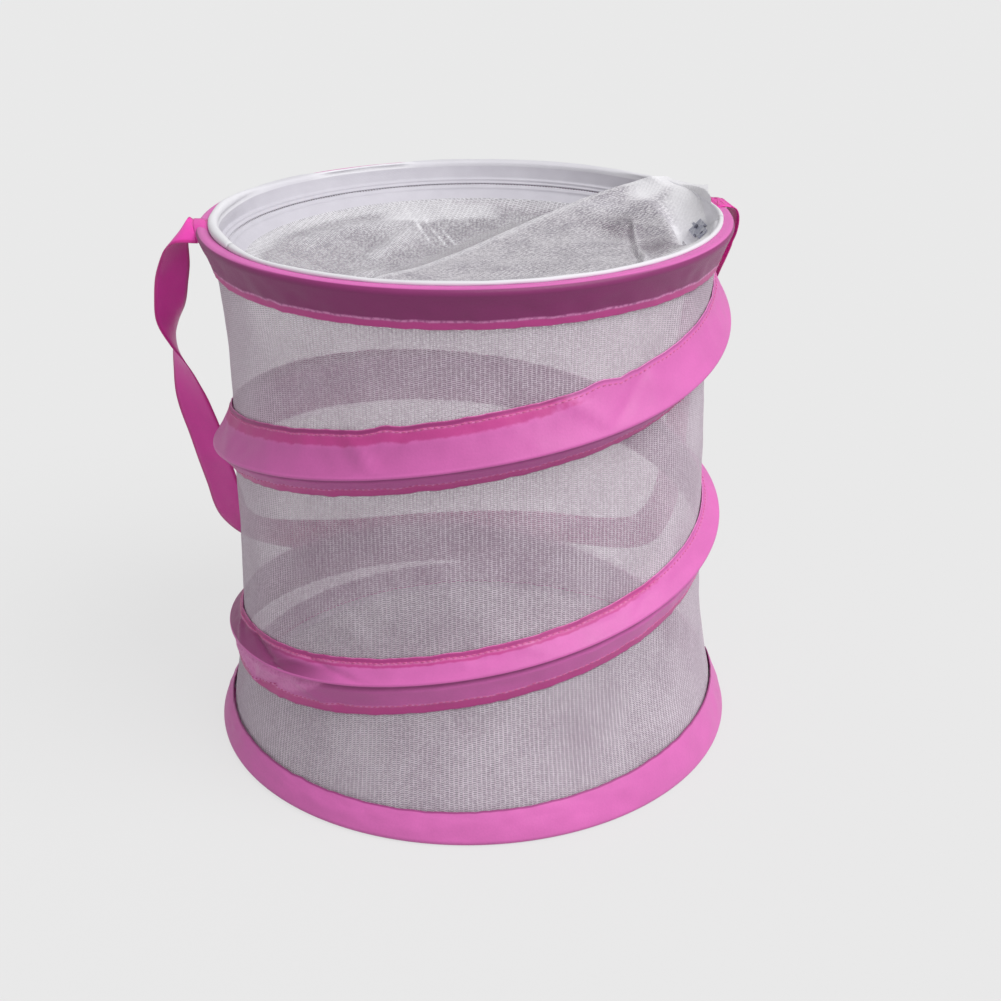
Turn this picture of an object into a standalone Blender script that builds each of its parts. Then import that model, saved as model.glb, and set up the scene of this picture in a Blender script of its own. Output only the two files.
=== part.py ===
# Pop-up insect cage: sprung wire rings and a spiral in pink sleeves, net wall, zipped net lid, carry strap.

import math

import bmesh
import bpy
from mathutils import Matrix, Vector

for old_object in list(bpy.data.objects):
    bpy.data.objects.remove(old_object, do_unlink=True)

# Frame: heights and radii are those of the wires' middle lines.
top_wire_height = 0.307
top_wire_radius = 0.1444
bottom_wire_radius = 0.1546
spiral_wire_radius = 0.147
wire_diameter = 0.002
wire_end_gap = 0.001

# Cloth.
fabric = 0.0005
net = 0.0007
gap = 0.0003

# Crimp tubes on the rings, and the plastic tips of the spiral.
ferrule_wall = 0.0005
tip_wall = 0.0004
tip_length = 0.010
tip_end_wall = 0.001

# Every ring is drawn as the same polygon, so that neighbours keep their gap all the way round.
segments_per_turn = 48
facet_angle = 360 / segments_per_turn
wire_sides = 6
arc_steps = 3

# The spiral, from its lower to its upper end, in degrees from +X.
spiral_start_angle = 7.5
spiral_end_angle = 810.0
spiral_knot_angle = 45.0
spiral_height_shares = (
    0.030, 0.070, 0.131, 0.168, 0.216, 0.263, 0.329, 0.391, 0.448, 0.496,
    0.532, 0.563, 0.594, 0.653, 0.716, 0.769, 0.838, 0.926, 0.967,
)
spiral_tuck_angle = 735.0
low_turn_width = 0.034
high_turn_width = 0.0365
low_turn_upper_share = 0.35
high_turn_upper_share = 0.62
low_turn_angle = 340.0
high_turn_angle = 520.0
sleeve_end_angle = 3.6

# The net wall: radius against height, both as shares of the top wire's radius and height.
wall_height_shares = (
    0.003, 0.065, 0.12, 0.17, 0.24, 0.33, 0.45, 0.6, 0.72, 0.82, 0.9, 0.94, 0.988,
)
wall_radius_shares = (
    1.044, 1.031, 1.008, 0.989, 0.966, 0.958, 0.951, 0.947, 0.936, 0.937, 0.951, 0.961, 0.969,
)
wall_seam_width = 0.008
wall_seam_angle = 348.75

# The sleeves of the two rings.
top_sleeve_drop = 0.019
top_lap_radius = 0.1405
top_lap_height = 0.3092
bottom_sleeve_height = 0.017
bottom_sleeve_raised = 0.026
raise_start_angle = 250.0
raise_end_angle = 350.0
sleeve_meeting = 0.0035
floor_radius = 0.1465
floor_tape_width = 0.007

# The zipper. Its section is drawn in a plane that leans inwards at the zip's slope.
zip_radius = 0.132
zip_height = 0.297
zip_slope = 45.0
zip_start_angle = 7.5
zip_end_angle = 195.0
zip_tape_end_angle = 15.0
teeth_per_facet = 2
tooth_tip_clear = 0.00065
tooth_root_half_width = 0.00145
tooth_tip_half_width = 0.00105
bead_inner = 0.0022
bead_outer = 0.0034
tooth_half_height = 0.0011
tape_straight = 0.0052
inner_tape_width = 0.012
inner_tape_slope = 36.0
rim_tape_knee_radius = 0.1388
rim_tape_knee_height = 0.3074
hem_knee_radius = 0.1372
hem_lower_radius = 0.1356
hem_lower_height = 0.3056
stop_length = 0.0025
stop_half_width = 0.0019
stop_setback = 0.0085

# The slack net of the lid: its height under the crest as a share of its sag, against its radius.
lid_crest_height = 0.3092
lid_sag = 0.0425
lid_net_radius_shares = (0.0, 0.17, 0.34, 0.52, 0.67, 0.77, 0.8445)
lid_net_drop_shares = (1.0, 0.995, 0.965, 0.87, 0.72, 0.59, 0.477)
lid_front_radius_shares = (0.91, 0.9368)
lid_front_drop_shares = (0.292, 0.10)
lid_fold_rise = 0.009
lid_fold_width = 0.02
lid_fold_angle = 54.0
lid_fold_offset = 0.017
lid_cut_gap = 0.00035

# The slider and its pull.
slider_length = 0.012
slider_half_width = 0.0046
slider_plate = 0.0009
slider_lip = 0.0008
slider_slot = 0.0006
slider_post_length = 0.003
slider_post_half_width = 0.00035
crown_half_length = 0.0032
crown_foot = 0.0009
crown_half_width = 0.0008
crown_rise = 0.0016
crown_bar = 0.0008
pull_thickness = 0.0008
pull_bar = 0.001
pull_arm = 0.001
pull_window_half_width = 0.0012
pull_window_length = 0.0042
pull_neck_length = 0.006
pull_length = 0.019
pull_half_width = 0.0032
pull_hole_radius = 0.0012
pull_hole_inset = 0.0028
pull_bevel = 0.0008
pull_round_sides = 12
cut_overrun = 0.002

# The carry strap: a ribbon sewn to opposite sides of the top ring.
strap_width = 0.022
strap_thickness = 0.0006
strap_angle = 7.5
tab_inner_radius = 0.1385
tab_outer_radius = 0.1487
tab_bend_radius = 0.1455
tab_droop = 0.0007
strap_steps_per_stretch = 3
# Angle, radius share and height share of the frame, then the way that the ribbon's width points:
# outwards, round the cage and up.
strap_route_shares = (
    (187.0, 1.070, 1.004, (0.0, 1.0, 0.0)),
    (185.0, 1.098, 0.983, (0.35, 1.0, 0.0)),
    (182.5, 1.119, 0.950, (0.65, 1.0, 0.0)),
    (180.0, 1.141, 0.908, (0.85, 0.75, 0.0)),
    (178.0, 1.164, 0.865, (0.85, 0.85, 0.0)),
    (176.0, 1.185, 0.821, (0.62, 1.0, 0.0)),
    (174.3, 1.191, 0.776, (0.0, 1.0, 0.0)),
    (172.5, 1.191, 0.730, (-0.55, 1.0, 0.0)),
    (170.5, 1.186, 0.679, (-1.0, 0.7, 0.0)),
    (168.3, 1.181, 0.617, (-1.0, 0.15, 0.0)),
    (166.5, 1.158, 0.547, (-1.0, 0.0, 0.0)),
    (164.5, 1.146, 0.479, (-1.0, 0.0, 0.0)),
    (161.5, 1.145, 0.409, (-1.0, 0.0, 0.12)),
    (157.0, 1.150, 0.322, (-0.9, 0.0, 0.4)),
    (150.0, 1.110, 0.262, (-0.62, 0.0, 0.78)),
    (139.0, 1.073, 0.214, (-0.2, 0.0, 1.0)),
    (126.0, 1.056, 0.178, (0.0, 0.0, 1.0)),
    (110.0, 1.050, 0.159, (0.0, 0.0, 1.0)),
    (90.0, 1.050, 0.152, (0.0, 0.0, 1.0)),
    (72.0, 1.050, 0.160, (0.0, 0.0, 1.0)),
    (57.0, 1.050, 0.170, (0.0, 0.0, 1.0)),
    (46.0, 1.050, 0.192, (0.0, 0.2, 1.0)),
    (38.5, 1.050, 0.230, (0.0, 0.5, 0.85)),
    (33.5, 1.050, 0.292, (0.0, 0.8, 0.55)),
    (30.5, 1.050, 0.376, (0.0, 0.9, 0.25)),
    (28.8, 1.050, 0.472, (0.0, 1.0, 0.1)),
    (27.6, 1.050, 0.570, (0.0, 1.0, 0.0)),
    (26.2, 1.050, 0.664, (0.0, 1.0, 0.0)),
    (24.2, 1.051, 0.750, (0.0, 1.0, 0.1)),
    (21.2, 1.053, 0.822, (0.0, 1.0, 0.25)),
    (17.2, 1.056, 0.878, (0.0, 1.0, 0.35)),
    (13.2, 1.058, 0.920, (0.0, 1.0, 0.3)),
    (10.2, 1.060, 0.952, (0.0, 1.0, 0.12)),
    (7.9, 1.060, 0.980, (0.0, 1.0, 0.0)),
)

# Sizes that follow from the ones above.
wire_radius = wire_diameter / 2
ferrule_bore = wire_radius + gap
ferrule_radius = ferrule_bore + ferrule_wall
ring_channel = ferrule_radius + gap + fabric / 2
tip_bore = wire_radius + gap
tip_radius = tip_bore + tip_wall
spiral_channel = wire_radius + gap + fabric / 2
tip_channel = tip_radius + gap + fabric / 2
bottom_wire_height = ring_channel + fabric / 2
wall_clearance = net / 2 + gap
seam_offset = wall_clearance + fabric / 2
tape_start = bead_outer + gap
tooth_pitch_angle = facet_angle / teeth_per_facet
top_seam_height = top_wire_height - top_sleeve_drop


# Materials.
def make_material(name, colour, roughness, metallic=0.0):
    material = bpy.data.materials.new(name)
    material.use_nodes = True
    shader = material.node_tree.nodes["Principled BSDF"]
    shader.inputs["Base Color"].default_value = (*colour, 1.0)
    shader.inputs["Roughness"].default_value = roughness
    shader.inputs["Metallic"].default_value = metallic
    material.diffuse_color = (*colour, 1.0)
    return material


pink_taffeta = make_material("pink_taffeta", (0.72, 0.16, 0.46), 0.45)
pink_ribbon = make_material("pink_ribbon", (0.55, 0.07, 0.27), 0.4)
white_net = make_material("white_net", (0.72, 0.70, 0.74), 0.8)
floor_net = make_material("floor_net", (0.34, 0.31, 0.37), 0.85)
white_tape = make_material("white_tape", (0.80, 0.79, 0.82), 0.7)
white_nylon = make_material("white_nylon", (0.62, 0.60, 0.66), 0.35)
spring_steel = make_material("spring_steel", (0.50, 0.50, 0.52), 0.3, 1.0)
crimp_metal = make_material("crimp_metal", (0.60, 0.58, 0.55), 0.35, 1.0)
slider_metal = make_material("slider_metal", (0.42, 0.43, 0.50), 0.25, 1.0)
tip_plastic = make_material("tip_plastic", (0.75, 0.75, 0.73), 0.5)


# Small geometry.
def smoothstep(low, high, value):
    share = min(max((value - low) / (high - low), 0.0), 1.0)
    return share * share * (3 - 2 * share)


def interpolate(xs, ys, x):
    """The height at x of the straight-sided line through the points of xs and ys."""
    for left in range(len(xs) - 2):
        if x <= xs[left + 1]:
            break
    else:
        left = len(xs) - 2
    share = (x - xs[left]) / (xs[left + 1] - xs[left])
    return ys[left] + (ys[left + 1] - ys[left]) * share


def spline(values, position):
    """A smooth curve through evenly spaced values; position counts from the first one."""
    left = min(max(int(position), 0), len(values) - 2)
    share = position - left
    before = values[max(left - 1, 0)]
    start = values[left]
    stop = values[left + 1]
    after = values[min(left + 2, len(values) - 1)]
    slope_in = (stop - before) / 2
    slope_out = (after - start) / 2
    cube = share ** 3
    square = share ** 2
    return ((2 * cube - 3 * square + 1) * start + (cube - 2 * square + share) * slope_in
            + (3 * square - 2 * cube) * stop + (cube - square) * slope_out)


def facet_share(angle):
    """How far out the polygon's side lies at this angle, as a share of its corner's radius."""
    into_side = angle % facet_angle - facet_angle / 2
    return math.cos(math.radians(facet_angle / 2)) / math.cos(math.radians(into_side))


def place(angle, radius, height):
    turn = math.radians(angle)
    reach = radius * facet_share(angle)
    return Vector((reach * math.cos(turn), reach * math.sin(turn), height))


def angles_between(start, stop):
    """The ends, and each corner of the polygon between them."""
    first = math.floor(start / facet_angle) + 1
    last = math.ceil(stop / facet_angle)
    return [start] + [index * facet_angle for index in range(first, last)] + [stop]


def arc(centre, radius, start, stop, steps):
    """Points of an arc in the section plane, from one angle to another in radians."""
    points = []
    for index in range(steps + 1):
        turn = start + (stop - start) * index / steps
        points.append((centre[0] + radius * math.cos(turn), centre[1] + radius * math.sin(turn)))
    return points


def touch_angle(centre, radius, point, side):
    """Where a straight line from point touches the outer half of the circle, in radians."""
    across = point[0] - centre[0]
    up = point[1] - centre[1]
    return math.atan2(up, across) - side * math.acos(radius / math.hypot(across, up))


def strip(path, thickness):
    """The closed outline of a strip of even thickness along a path in the section plane."""
    left_side = []
    right_side = []
    for index, (x, y) in enumerate(path):
        directions = []
        for first, second in ((index - 1, index), (index, index + 1)):
            if first >= 0 and second < len(path):
                run = Vector(path[second]) - Vector(path[first])
                directions.append(run.normalized())
        along = sum(directions, Vector((0.0, 0.0))).normalized()
        reach = thickness / 2 / along.dot(directions[0])
        left_side.append((x - along.y * reach, y + along.x * reach))
        right_side.append((x + along.y * reach, y - along.x * reach))
    return left_side + right_side[::-1]


def circle(centre, radius, sides):
    return arc(centre, radius, 0.0, 2 * math.pi * (1 - 1 / sides), sides - 1)


# Objects.
def finish(name, mesh_edit, material, pivot=None):
    """Turn a bmesh into an object, shade it, and hang it on its pivot where it has one."""
    bmesh.ops.recalc_face_normals(mesh_edit, faces=mesh_edit.faces)
    mesh = bpy.data.meshes.new(name)
    mesh_edit.to_mesh(mesh)
    mesh_edit.free()
    mesh.materials.append(material)
    mesh.shade_smooth()
    mesh.set_sharp_from_angle(angle=math.radians(35))
    piece = bpy.data.objects.new(name, mesh)
    bpy.context.scene.collection.objects.link(piece)
    if pivot is not None:
        mesh.transform(Matrix.Translation(-world_place(pivot)))
        piece.parent = pivot
    return piece


def world_place(empty):
    spot = empty.location.copy()
    if empty.parent is not None:
        spot += world_place(empty.parent)
    return spot


def make_pivot(name, spot, carrier=None):
    """An empty on a joint's axis, which carries the pieces that move with it."""
    pivot = bpy.data.objects.new(name, None)
    bpy.context.scene.collection.objects.link(pivot)
    pivot.location = spot
    if carrier is not None:
        pivot.parent = carrier
        pivot.location = Vector(spot) - world_place(carrier)
    return pivot


def loft(sections, closed, name, material, pivot=None):
    """One closed body through sections of equally many points."""
    mesh_edit = bmesh.new()
    rings = [[mesh_edit.verts.new(point) for point in section] for section in sections]
    count = len(rings[0])
    pairs = list(zip(rings, rings[1:]))
    if closed:
        pairs.append((rings[-1], rings[0]))
    else:
        mesh_edit.faces.new(rings[0])
        mesh_edit.faces.new(rings[-1])
    for near, far in pairs:
        for index in range(count):
            following = (index + 1) % count
            mesh_edit.faces.new((near[index], near[following], far[following], far[index]))
    return finish(name, mesh_edit, material, pivot)


def sweep(name, angles, outline_at, material, closed=False, pivot=None):
    """Loft the outline that outline_at gives for each angle round the cage's axis."""
    sections = []
    for angle in angles:
        sections.append([place(angle, radius, height) for radius, height in outline_at(angle)])
    return loft(sections, closed, name, material, pivot)


def tube(name, stations, bore, radius, material, plug_first=False, plug_last=False, pivot=None):
    """A tube along stations of (angle, radius, height); a plugged end stays closed."""
    mesh_edit = bmesh.new()
    outer = []
    inner = []
    for angle, path_radius, height in stations:
        centre = (path_radius, height)
        outer.append([mesh_edit.verts.new(place(angle, *point)) for point in circle(centre, radius, wire_sides)])
        inner.append([mesh_edit.verts.new(place(angle, *point)) for point in circle(centre, bore, wire_sides)])
    inner_used = inner[1:] if plug_first else inner
    inner_used = inner_used[:-1] if plug_last else inner_used
    for rings in (outer, inner_used):
        for near, far in zip(rings, rings[1:]):
            for index in range(wire_sides):
                following = (index + 1) % wire_sides
                mesh_edit.faces.new((near[index], near[following], far[following], far[index]))
    for plugged, outer_ring, inner_ring in ((plug_first, outer[0], inner_used[0]),
                                            (plug_last, outer[-1], inner_used[-1])):
        if plugged:
            mesh_edit.faces.new(outer_ring)
            mesh_edit.faces.new(inner_ring)
        else:
            for index in range(wire_sides):
                following = (index + 1) % wire_sides
                mesh_edit.faces.new((outer_ring[index], outer_ring[following],
                                     inner_ring[following], inner_ring[index]))
    unused = [vertex for vertex in mesh_edit.verts if not vertex.link_faces]
    bmesh.ops.delete(mesh_edit, geom=unused, context="VERTS")
    return finish(name, mesh_edit, material, pivot)


whole_turn = [index * facet_angle for index in range(segments_per_turn)]


# The net wall's shape, which everything sewn to it follows.
wall_heights = [share * top_wire_height for share in wall_height_shares]
wall_radii = [share * top_wire_radius for share in wall_radius_shares]


def wall_radius(height):
    return interpolate(wall_heights, wall_radii, height)


def seam_point(height):
    """A sleeve's edge, laid against the outside of the wall at this height."""
    return (wall_radius(height) + seam_offset, height)


# The spiral's path.
spiral_heights = [share * top_wire_height for share in spiral_height_shares]
tuck_radius = wall_radius(spiral_heights[-1]) + net / 2 + gap + tip_radius


def spiral_centre(angle):
    """The middle of the spiral wire: its radius and height at an unwound angle."""
    height = spline(spiral_heights, angle / spiral_knot_angle)
    clear_of_wall = wall_radius(height) + net / 2 + gap + tip_radius
    radius = max(spiral_wire_radius, clear_of_wall)
    tuck = smoothstep(spiral_tuck_angle, spiral_end_angle, angle)
    return (radius + (tuck_radius - radius) * tuck, height)


# Where the sleeves of the rings end, and the spiral's sleeve begins.
sleeve_first_angle = spiral_start_angle - sleeve_end_angle
sleeve_last_angle = spiral_end_angle + sleeve_end_angle
meeting_angle = math.degrees(gap / bottom_wire_radius) * 2


def bottom_seam_height(angle):
    """The upper edge of the bottom sleeve: it steps down where the spiral's sleeve runs beside it."""
    turned = angle % 360
    raised = bottom_sleeve_height + (bottom_sleeve_raised - bottom_sleeve_height) * smoothstep(
        raise_start_angle, raise_end_angle, turned)
    if turned < sleeve_first_angle - 1.5 * meeting_angle:
        return bottom_sleeve_raised
    if turned < 180:
        return min(bottom_sleeve_height, spiral_centre(turned)[1] - sleeve_meeting)
    return raised


def top_seam_height_at(angle):
    """The lower edge of the top sleeve: it steps up where the spiral's sleeve runs beside it."""
    turned = angle % 360
    if turned < sleeve_last_angle - 720 + meeting_angle:
        return max(top_seam_height, spiral_centre(turned + 720)[1] + sleeve_meeting)
    return top_seam_height


def bottom_sleeve_outline(angle):
    centre = (bottom_wire_radius, bottom_wire_height)
    seam = seam_point(bottom_seam_height(angle))
    touch = touch_angle(centre, ring_channel, seam, 1)
    around = arc(centre, ring_channel, touch, -math.pi / 2, arc_steps + 1)
    lap = (floor_radius + gap, fabric / 2)
    return strip([seam, *around, lap], fabric)


def top_sleeve_outline(angle):
    centre = (top_wire_radius, top_wire_height)
    seam = seam_point(top_seam_height_at(angle))
    touch = touch_angle(centre, ring_channel, seam, -1)
    around = arc(centre, ring_channel, math.pi / 2, touch, arc_steps + 1)
    lap = (top_lap_radius, top_lap_height)
    return strip([lap, *around, seam], fabric)


tip_span = math.degrees(tip_length / top_wire_radius)
tip_mouths = (spiral_start_angle + tip_span, spiral_end_angle - tip_span)


def near_tip(angle):
    return angle <= tip_mouths[0] or angle >= tip_mouths[1]


def spiral_sleeve_outline(angle):
    centre = spiral_centre(min(max(angle, spiral_start_angle), spiral_end_angle))
    channel = tip_channel if near_tip(angle) else spiral_channel
    turn = smoothstep(low_turn_angle, high_turn_angle, angle)
    upper_share = low_turn_upper_share + (high_turn_upper_share - low_turn_upper_share) * turn
    width = low_turn_width + (high_turn_width - low_turn_width) * turn
    upper = centre[1] + width * upper_share
    lower = centre[1] - width * (1 - upper_share)
    if angle > 720:
        upper = min(upper, centre[1] + sleeve_meeting - 1.5 * gap) if top_merges(angle) else min(
            upper, top_seam_height_at(angle) - 1.5 * gap)
    if angle < 180:
        lower = max(lower, bottom_seam_height(max(angle, sleeve_first_angle)) + 1.5 * gap)
    upper_seam = seam_point(upper)
    lower_seam = seam_point(lower)
    start = touch_angle(centre, channel, upper_seam, 1)
    stop = touch_angle(centre, channel, lower_seam, -1)
    return strip([upper_seam, *arc(centre, channel, start, stop, arc_steps), lower_seam], fabric)


def top_merges(angle):
    """Whether the top sleeve's edge follows the spiral at this unwound angle."""
    return spiral_centre(min(angle, spiral_end_angle))[1] + sleeve_meeting > top_seam_height


# Base: bottom ring, sleeve and floor.
def ring_wire(name, radius, height, joint_angle, pivot=None):
    """A ring of wire whose ends nearly meet inside its crimp tube."""
    half_gap = math.degrees(wire_end_gap / 2 / radius)
    angles = angles_between(joint_angle + half_gap, joint_angle + 360 - half_gap)
    sweep(name, angles, lambda angle: circle((radius, height), wire_radius, wire_sides),
          spring_steel, pivot=pivot)


def crimp_tube(name, radius, height, joint_angle, pivot=None):
    ends = (joint_angle - facet_angle / 2, joint_angle + facet_angle / 2)
    stations = [(angle, radius, height) for angle in ends]
    tube(name, stations, ferrule_bore, ferrule_radius, crimp_metal, pivot=pivot)


bottom_joint_angle = 131.25
top_joint_angle = 221.25

ring_wire("bottom_ring_wire", bottom_wire_radius, bottom_wire_height, bottom_joint_angle)
crimp_tube("bottom_ring_crimp", bottom_wire_radius, bottom_wire_height, bottom_joint_angle)
step_angles = [sleeve_first_angle - 2 * meeting_angle, sleeve_first_angle - meeting_angle]
sweep("bottom_sleeve", sorted(whole_turn + step_angles), bottom_sleeve_outline, pink_taffeta, closed=True)


def disc(name, radius, low, high, material):
    mesh_edit = bmesh.new()
    below = [mesh_edit.verts.new(place(angle, radius, low)) for angle in whole_turn]
    above = [mesh_edit.verts.new(place(angle, radius, high)) for angle in whole_turn]
    mesh_edit.faces.new(below)
    mesh_edit.faces.new(above)
    for index in range(segments_per_turn):
        following = (index + 1) % segments_per_turn
        mesh_edit.faces.new((below[index], below[following], above[following], above[index]))
    return finish(name, mesh_edit, material)


disc("floor_panel", floor_radius, 0.0, net, floor_net)
floor_tape_middle = net + gap + fabric / 2
floor_tape_inner = floor_radius - floor_tape_width / 2
sweep("floor_seam_tape", whole_turn,
      lambda angle: strip([(floor_tape_inner, floor_tape_middle),
                           (floor_tape_inner + floor_tape_width, floor_tape_middle)], fabric),
      pink_taffeta, closed=True)

# Wall, spiral and what is sewn to them.
wall_path = list(zip(wall_radii, wall_heights))
sweep("wall_net", whole_turn, lambda angle: strip(wall_path, net), white_net, closed=True)


def wall_seam_sections():
    """The flat tape over the wall's seam, inside, at each height of the wall's outline."""
    turn = math.radians(wall_seam_angle)
    outwards = Vector((math.cos(turn), math.sin(turn), 0.0))
    sideways = Vector((-math.sin(turn), math.cos(turn), 0.0)) * wall_seam_width / 2
    thickness = outwards * fabric
    sections = []
    for radius, height in wall_path[1:-1]:
        face = outwards * (radius * facet_share(wall_seam_angle) - net / 2 - 2 * gap)
        face.z = height
        sections.append([face - sideways, face + sideways,
                         face + sideways - thickness, face - sideways - thickness])
    return sections


loft(wall_seam_sections(), False, "wall_seam_tape", white_tape)

spiral_angles = angles_between(spiral_start_angle, spiral_end_angle)
sweep("spiral_wire", spiral_angles,
      lambda angle: circle(spiral_centre(angle), wire_radius, wire_sides), spring_steel)
sleeve_angles = sorted(angles_between(sleeve_first_angle, sleeve_last_angle) + list(tip_mouths))
sweep("spiral_sleeve", sleeve_angles, spiral_sleeve_outline, pink_taffeta)


# Pivots: the top ring slides down the cage's axis, and carries the lid, slider and strap.
top_frame = make_pivot("top_frame_slide", (0.0, 0.0, top_wire_height))
slider_axis = make_pivot("zip_slider_axis", (0.0, 0.0, zip_height), top_frame)
strap_axis = make_pivot("strap_axis", (0.0, 0.0, top_lap_height), top_frame)
hinge_ends = [place(angle, zip_radius, zip_height) for angle in (zip_start_angle, zip_end_angle)]
lid_axis = make_pivot("lid_fold_axis", (hinge_ends[0] + hinge_ends[1]) / 2, top_frame)


def spiral_tip(name, end_angle, inwards, pivot=None):
    """A closed tip pushed over an end of the spiral wire."""
    turn = math.degrees(1 / top_wire_radius)
    outer_end = end_angle - inwards * (gap + tip_end_wall) * turn
    bore_end = end_angle - inwards * gap * turn
    mouth = end_angle + inwards * (tip_length - tip_end_wall) * turn
    stations = []
    for angle in (outer_end, bore_end, mouth):
        stations.append((angle, *spiral_centre(min(max(angle, spiral_start_angle), spiral_end_angle))))
    tube(name, stations, tip_bore, tip_radius, tip_plastic, plug_first=True, pivot=pivot)


spiral_tip("spiral_tip_lower", spiral_start_angle, 1)
spiral_tip("spiral_tip_upper", spiral_end_angle, -1, top_frame)

# Top ring and its sleeve.
ring_wire("top_ring_wire", top_wire_radius, top_wire_height, top_joint_angle, top_frame)
crimp_tube("top_ring_crimp", top_wire_radius, top_wire_height, top_joint_angle, top_frame)
top_step = sleeve_last_angle - 720 + meeting_angle
sweep("top_sleeve", sorted(whole_turn + [top_step - meeting_angle / 10, top_step + meeting_angle]),
      top_sleeve_outline, pink_taffeta, closed=True, pivot=top_frame)


# Zipper: along is the way up the slope, and above is square to it.
def zip_point(along, above):
    slope = math.radians(zip_slope)
    return (zip_radius + along * math.cos(slope) - above * math.sin(slope),
            zip_height + along * math.sin(slope) + above * math.cos(slope))


def inner_tape_path():
    slope = math.radians(inner_tape_slope)
    bend = zip_point(-tape_straight, 0.0)
    run = inner_tape_width - tape_straight
    return [zip_point(-tape_start, 0.0), bend,
            (bend[0] - run * math.cos(slope), bend[1] - run * math.sin(slope))]


def rim_tape_path():
    return [zip_point(tape_start, 0.0), zip_point(tape_straight, 0.0),
            (rim_tape_knee_radius, rim_tape_knee_height), (top_lap_radius - gap, top_lap_height)]


def hem_path():
    return [(hem_lower_radius, hem_lower_height), (hem_knee_radius, top_lap_height),
            (top_lap_radius - gap, top_lap_height)]


joint_angle_gap = math.degrees(gap / zip_radius)
tape_first = zip_start_angle - zip_tape_end_angle
tape_last = zip_end_angle + zip_tape_end_angle
sweep("rim_zip_tape", angles_between(tape_first + joint_angle_gap, tape_last - joint_angle_gap),
      lambda angle: strip(rim_tape_path(), fabric), white_tape, pivot=top_frame)
sweep("front_hem", angles_between(tape_last + joint_angle_gap, tape_first + 360 - joint_angle_gap),
      lambda angle: strip(hem_path(), fabric), white_tape, pivot=top_frame)
sweep("zip_end_tape_right", angles_between(tape_first + joint_angle_gap, zip_start_angle - joint_angle_gap),
      lambda angle: strip(inner_tape_path(), fabric), white_tape, pivot=top_frame)
sweep("zip_end_tape_left", angles_between(zip_end_angle + joint_angle_gap, tape_last - joint_angle_gap),
      lambda angle: strip(inner_tape_path(), fabric), white_tape, pivot=top_frame)
sweep("flap_zip_tape", angles_between(zip_start_angle + joint_angle_gap, zip_end_angle - joint_angle_gap),
      lambda angle: strip(inner_tape_path(), fabric), white_tape, pivot=lid_axis)


def comb_stations(phase, bead_start, bead_stop):
    """Angles along one side of the zipper, each with whether a tooth's tip is there."""
    pitch = tooth_pitch_angle
    count = round((zip_end_angle - zip_start_angle) / pitch)
    root = math.degrees(tooth_root_half_width / zip_radius)
    tip = math.degrees(tooth_tip_half_width / zip_radius)
    stations = [(bead_start, False)]
    for index in range(count):
        middle = zip_start_angle + (index + phase) * pitch
        stations += [(middle - root, False), (middle - tip, True), (middle + tip, True), (middle + root, False)]
    return stations + [(bead_stop, False)]


def comb(name, side, phase, bead_start, bead_stop, pivot):
    """A bead along the tape's edge, whose teeth leave a way between the rows for the slider's post."""
    sections = []
    for angle, at_tip in comb_stations(phase, bead_start, bead_stop):
        reach = side * (tooth_tip_clear if at_tip else bead_inner)
        corners = ((reach, -tooth_half_height), (reach, tooth_half_height),
                   (side * bead_outer, tooth_half_height), (side * bead_outer, -tooth_half_height))
        sections.append([place(angle, *zip_point(*corner)) for corner in corners])
    loft(sections, False, name, white_nylon, pivot)


slider_park_angle = zip_start_angle - facet_angle / 2
slider_far_angle = zip_end_angle + facet_angle / 2
stop_angle = math.degrees(stop_setback / zip_radius)
stop_span = math.degrees(stop_length / zip_radius)
comb("rim_zip_teeth", 1, 0.25, slider_park_angle - stop_angle + joint_angle_gap,
     slider_far_angle + stop_angle - joint_angle_gap, top_frame)
comb("flap_zip_teeth", -1, 0.75, zip_start_angle + joint_angle_gap,
     zip_end_angle - joint_angle_gap, lid_axis)


def zip_stop(name, start_angle):
    """The block that joins both tapes at an end of the zipper."""
    corners = ((-bead_outer, -tooth_half_height), (-bead_outer, tooth_half_height),
               (bead_outer, tooth_half_height), (bead_outer, -tooth_half_height))
    sweep(name, [start_angle, start_angle + stop_span],
          lambda angle: [zip_point(*corner) for corner in corners], white_nylon, pivot=top_frame)


zip_stop("zip_stop_right", slider_park_angle - stop_angle - stop_span)
zip_stop("zip_stop_left", slider_far_angle + stop_angle)

# The lid's net, in a fixed front part and a flap behind the fold line.
lid_net_radii = [share * top_wire_radius for share in lid_net_radius_shares]
lid_net_heights = [lid_crest_height - share * lid_sag for share in lid_net_drop_shares]
lid_front_radii = [share * top_wire_radius for share in lid_front_radius_shares]
lid_front_heights = [lid_crest_height - share * lid_sag for share in lid_front_drop_shares]


def lid_vertex(angle, radius, height):
    """A point of the slack net, raised along its main fold."""
    spot = place(angle, radius, height)
    turn = math.radians(lid_fold_angle)
    from_fold = -math.sin(turn) * spot.x + math.cos(turn) * spot.y + lid_fold_offset
    inside = max(1 - (radius / lid_net_radii[-1]) ** 4, 0.0)
    spot.z += lid_fold_rise * inside * math.exp(-(from_fold / lid_fold_width) ** 2)
    return spot


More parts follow.
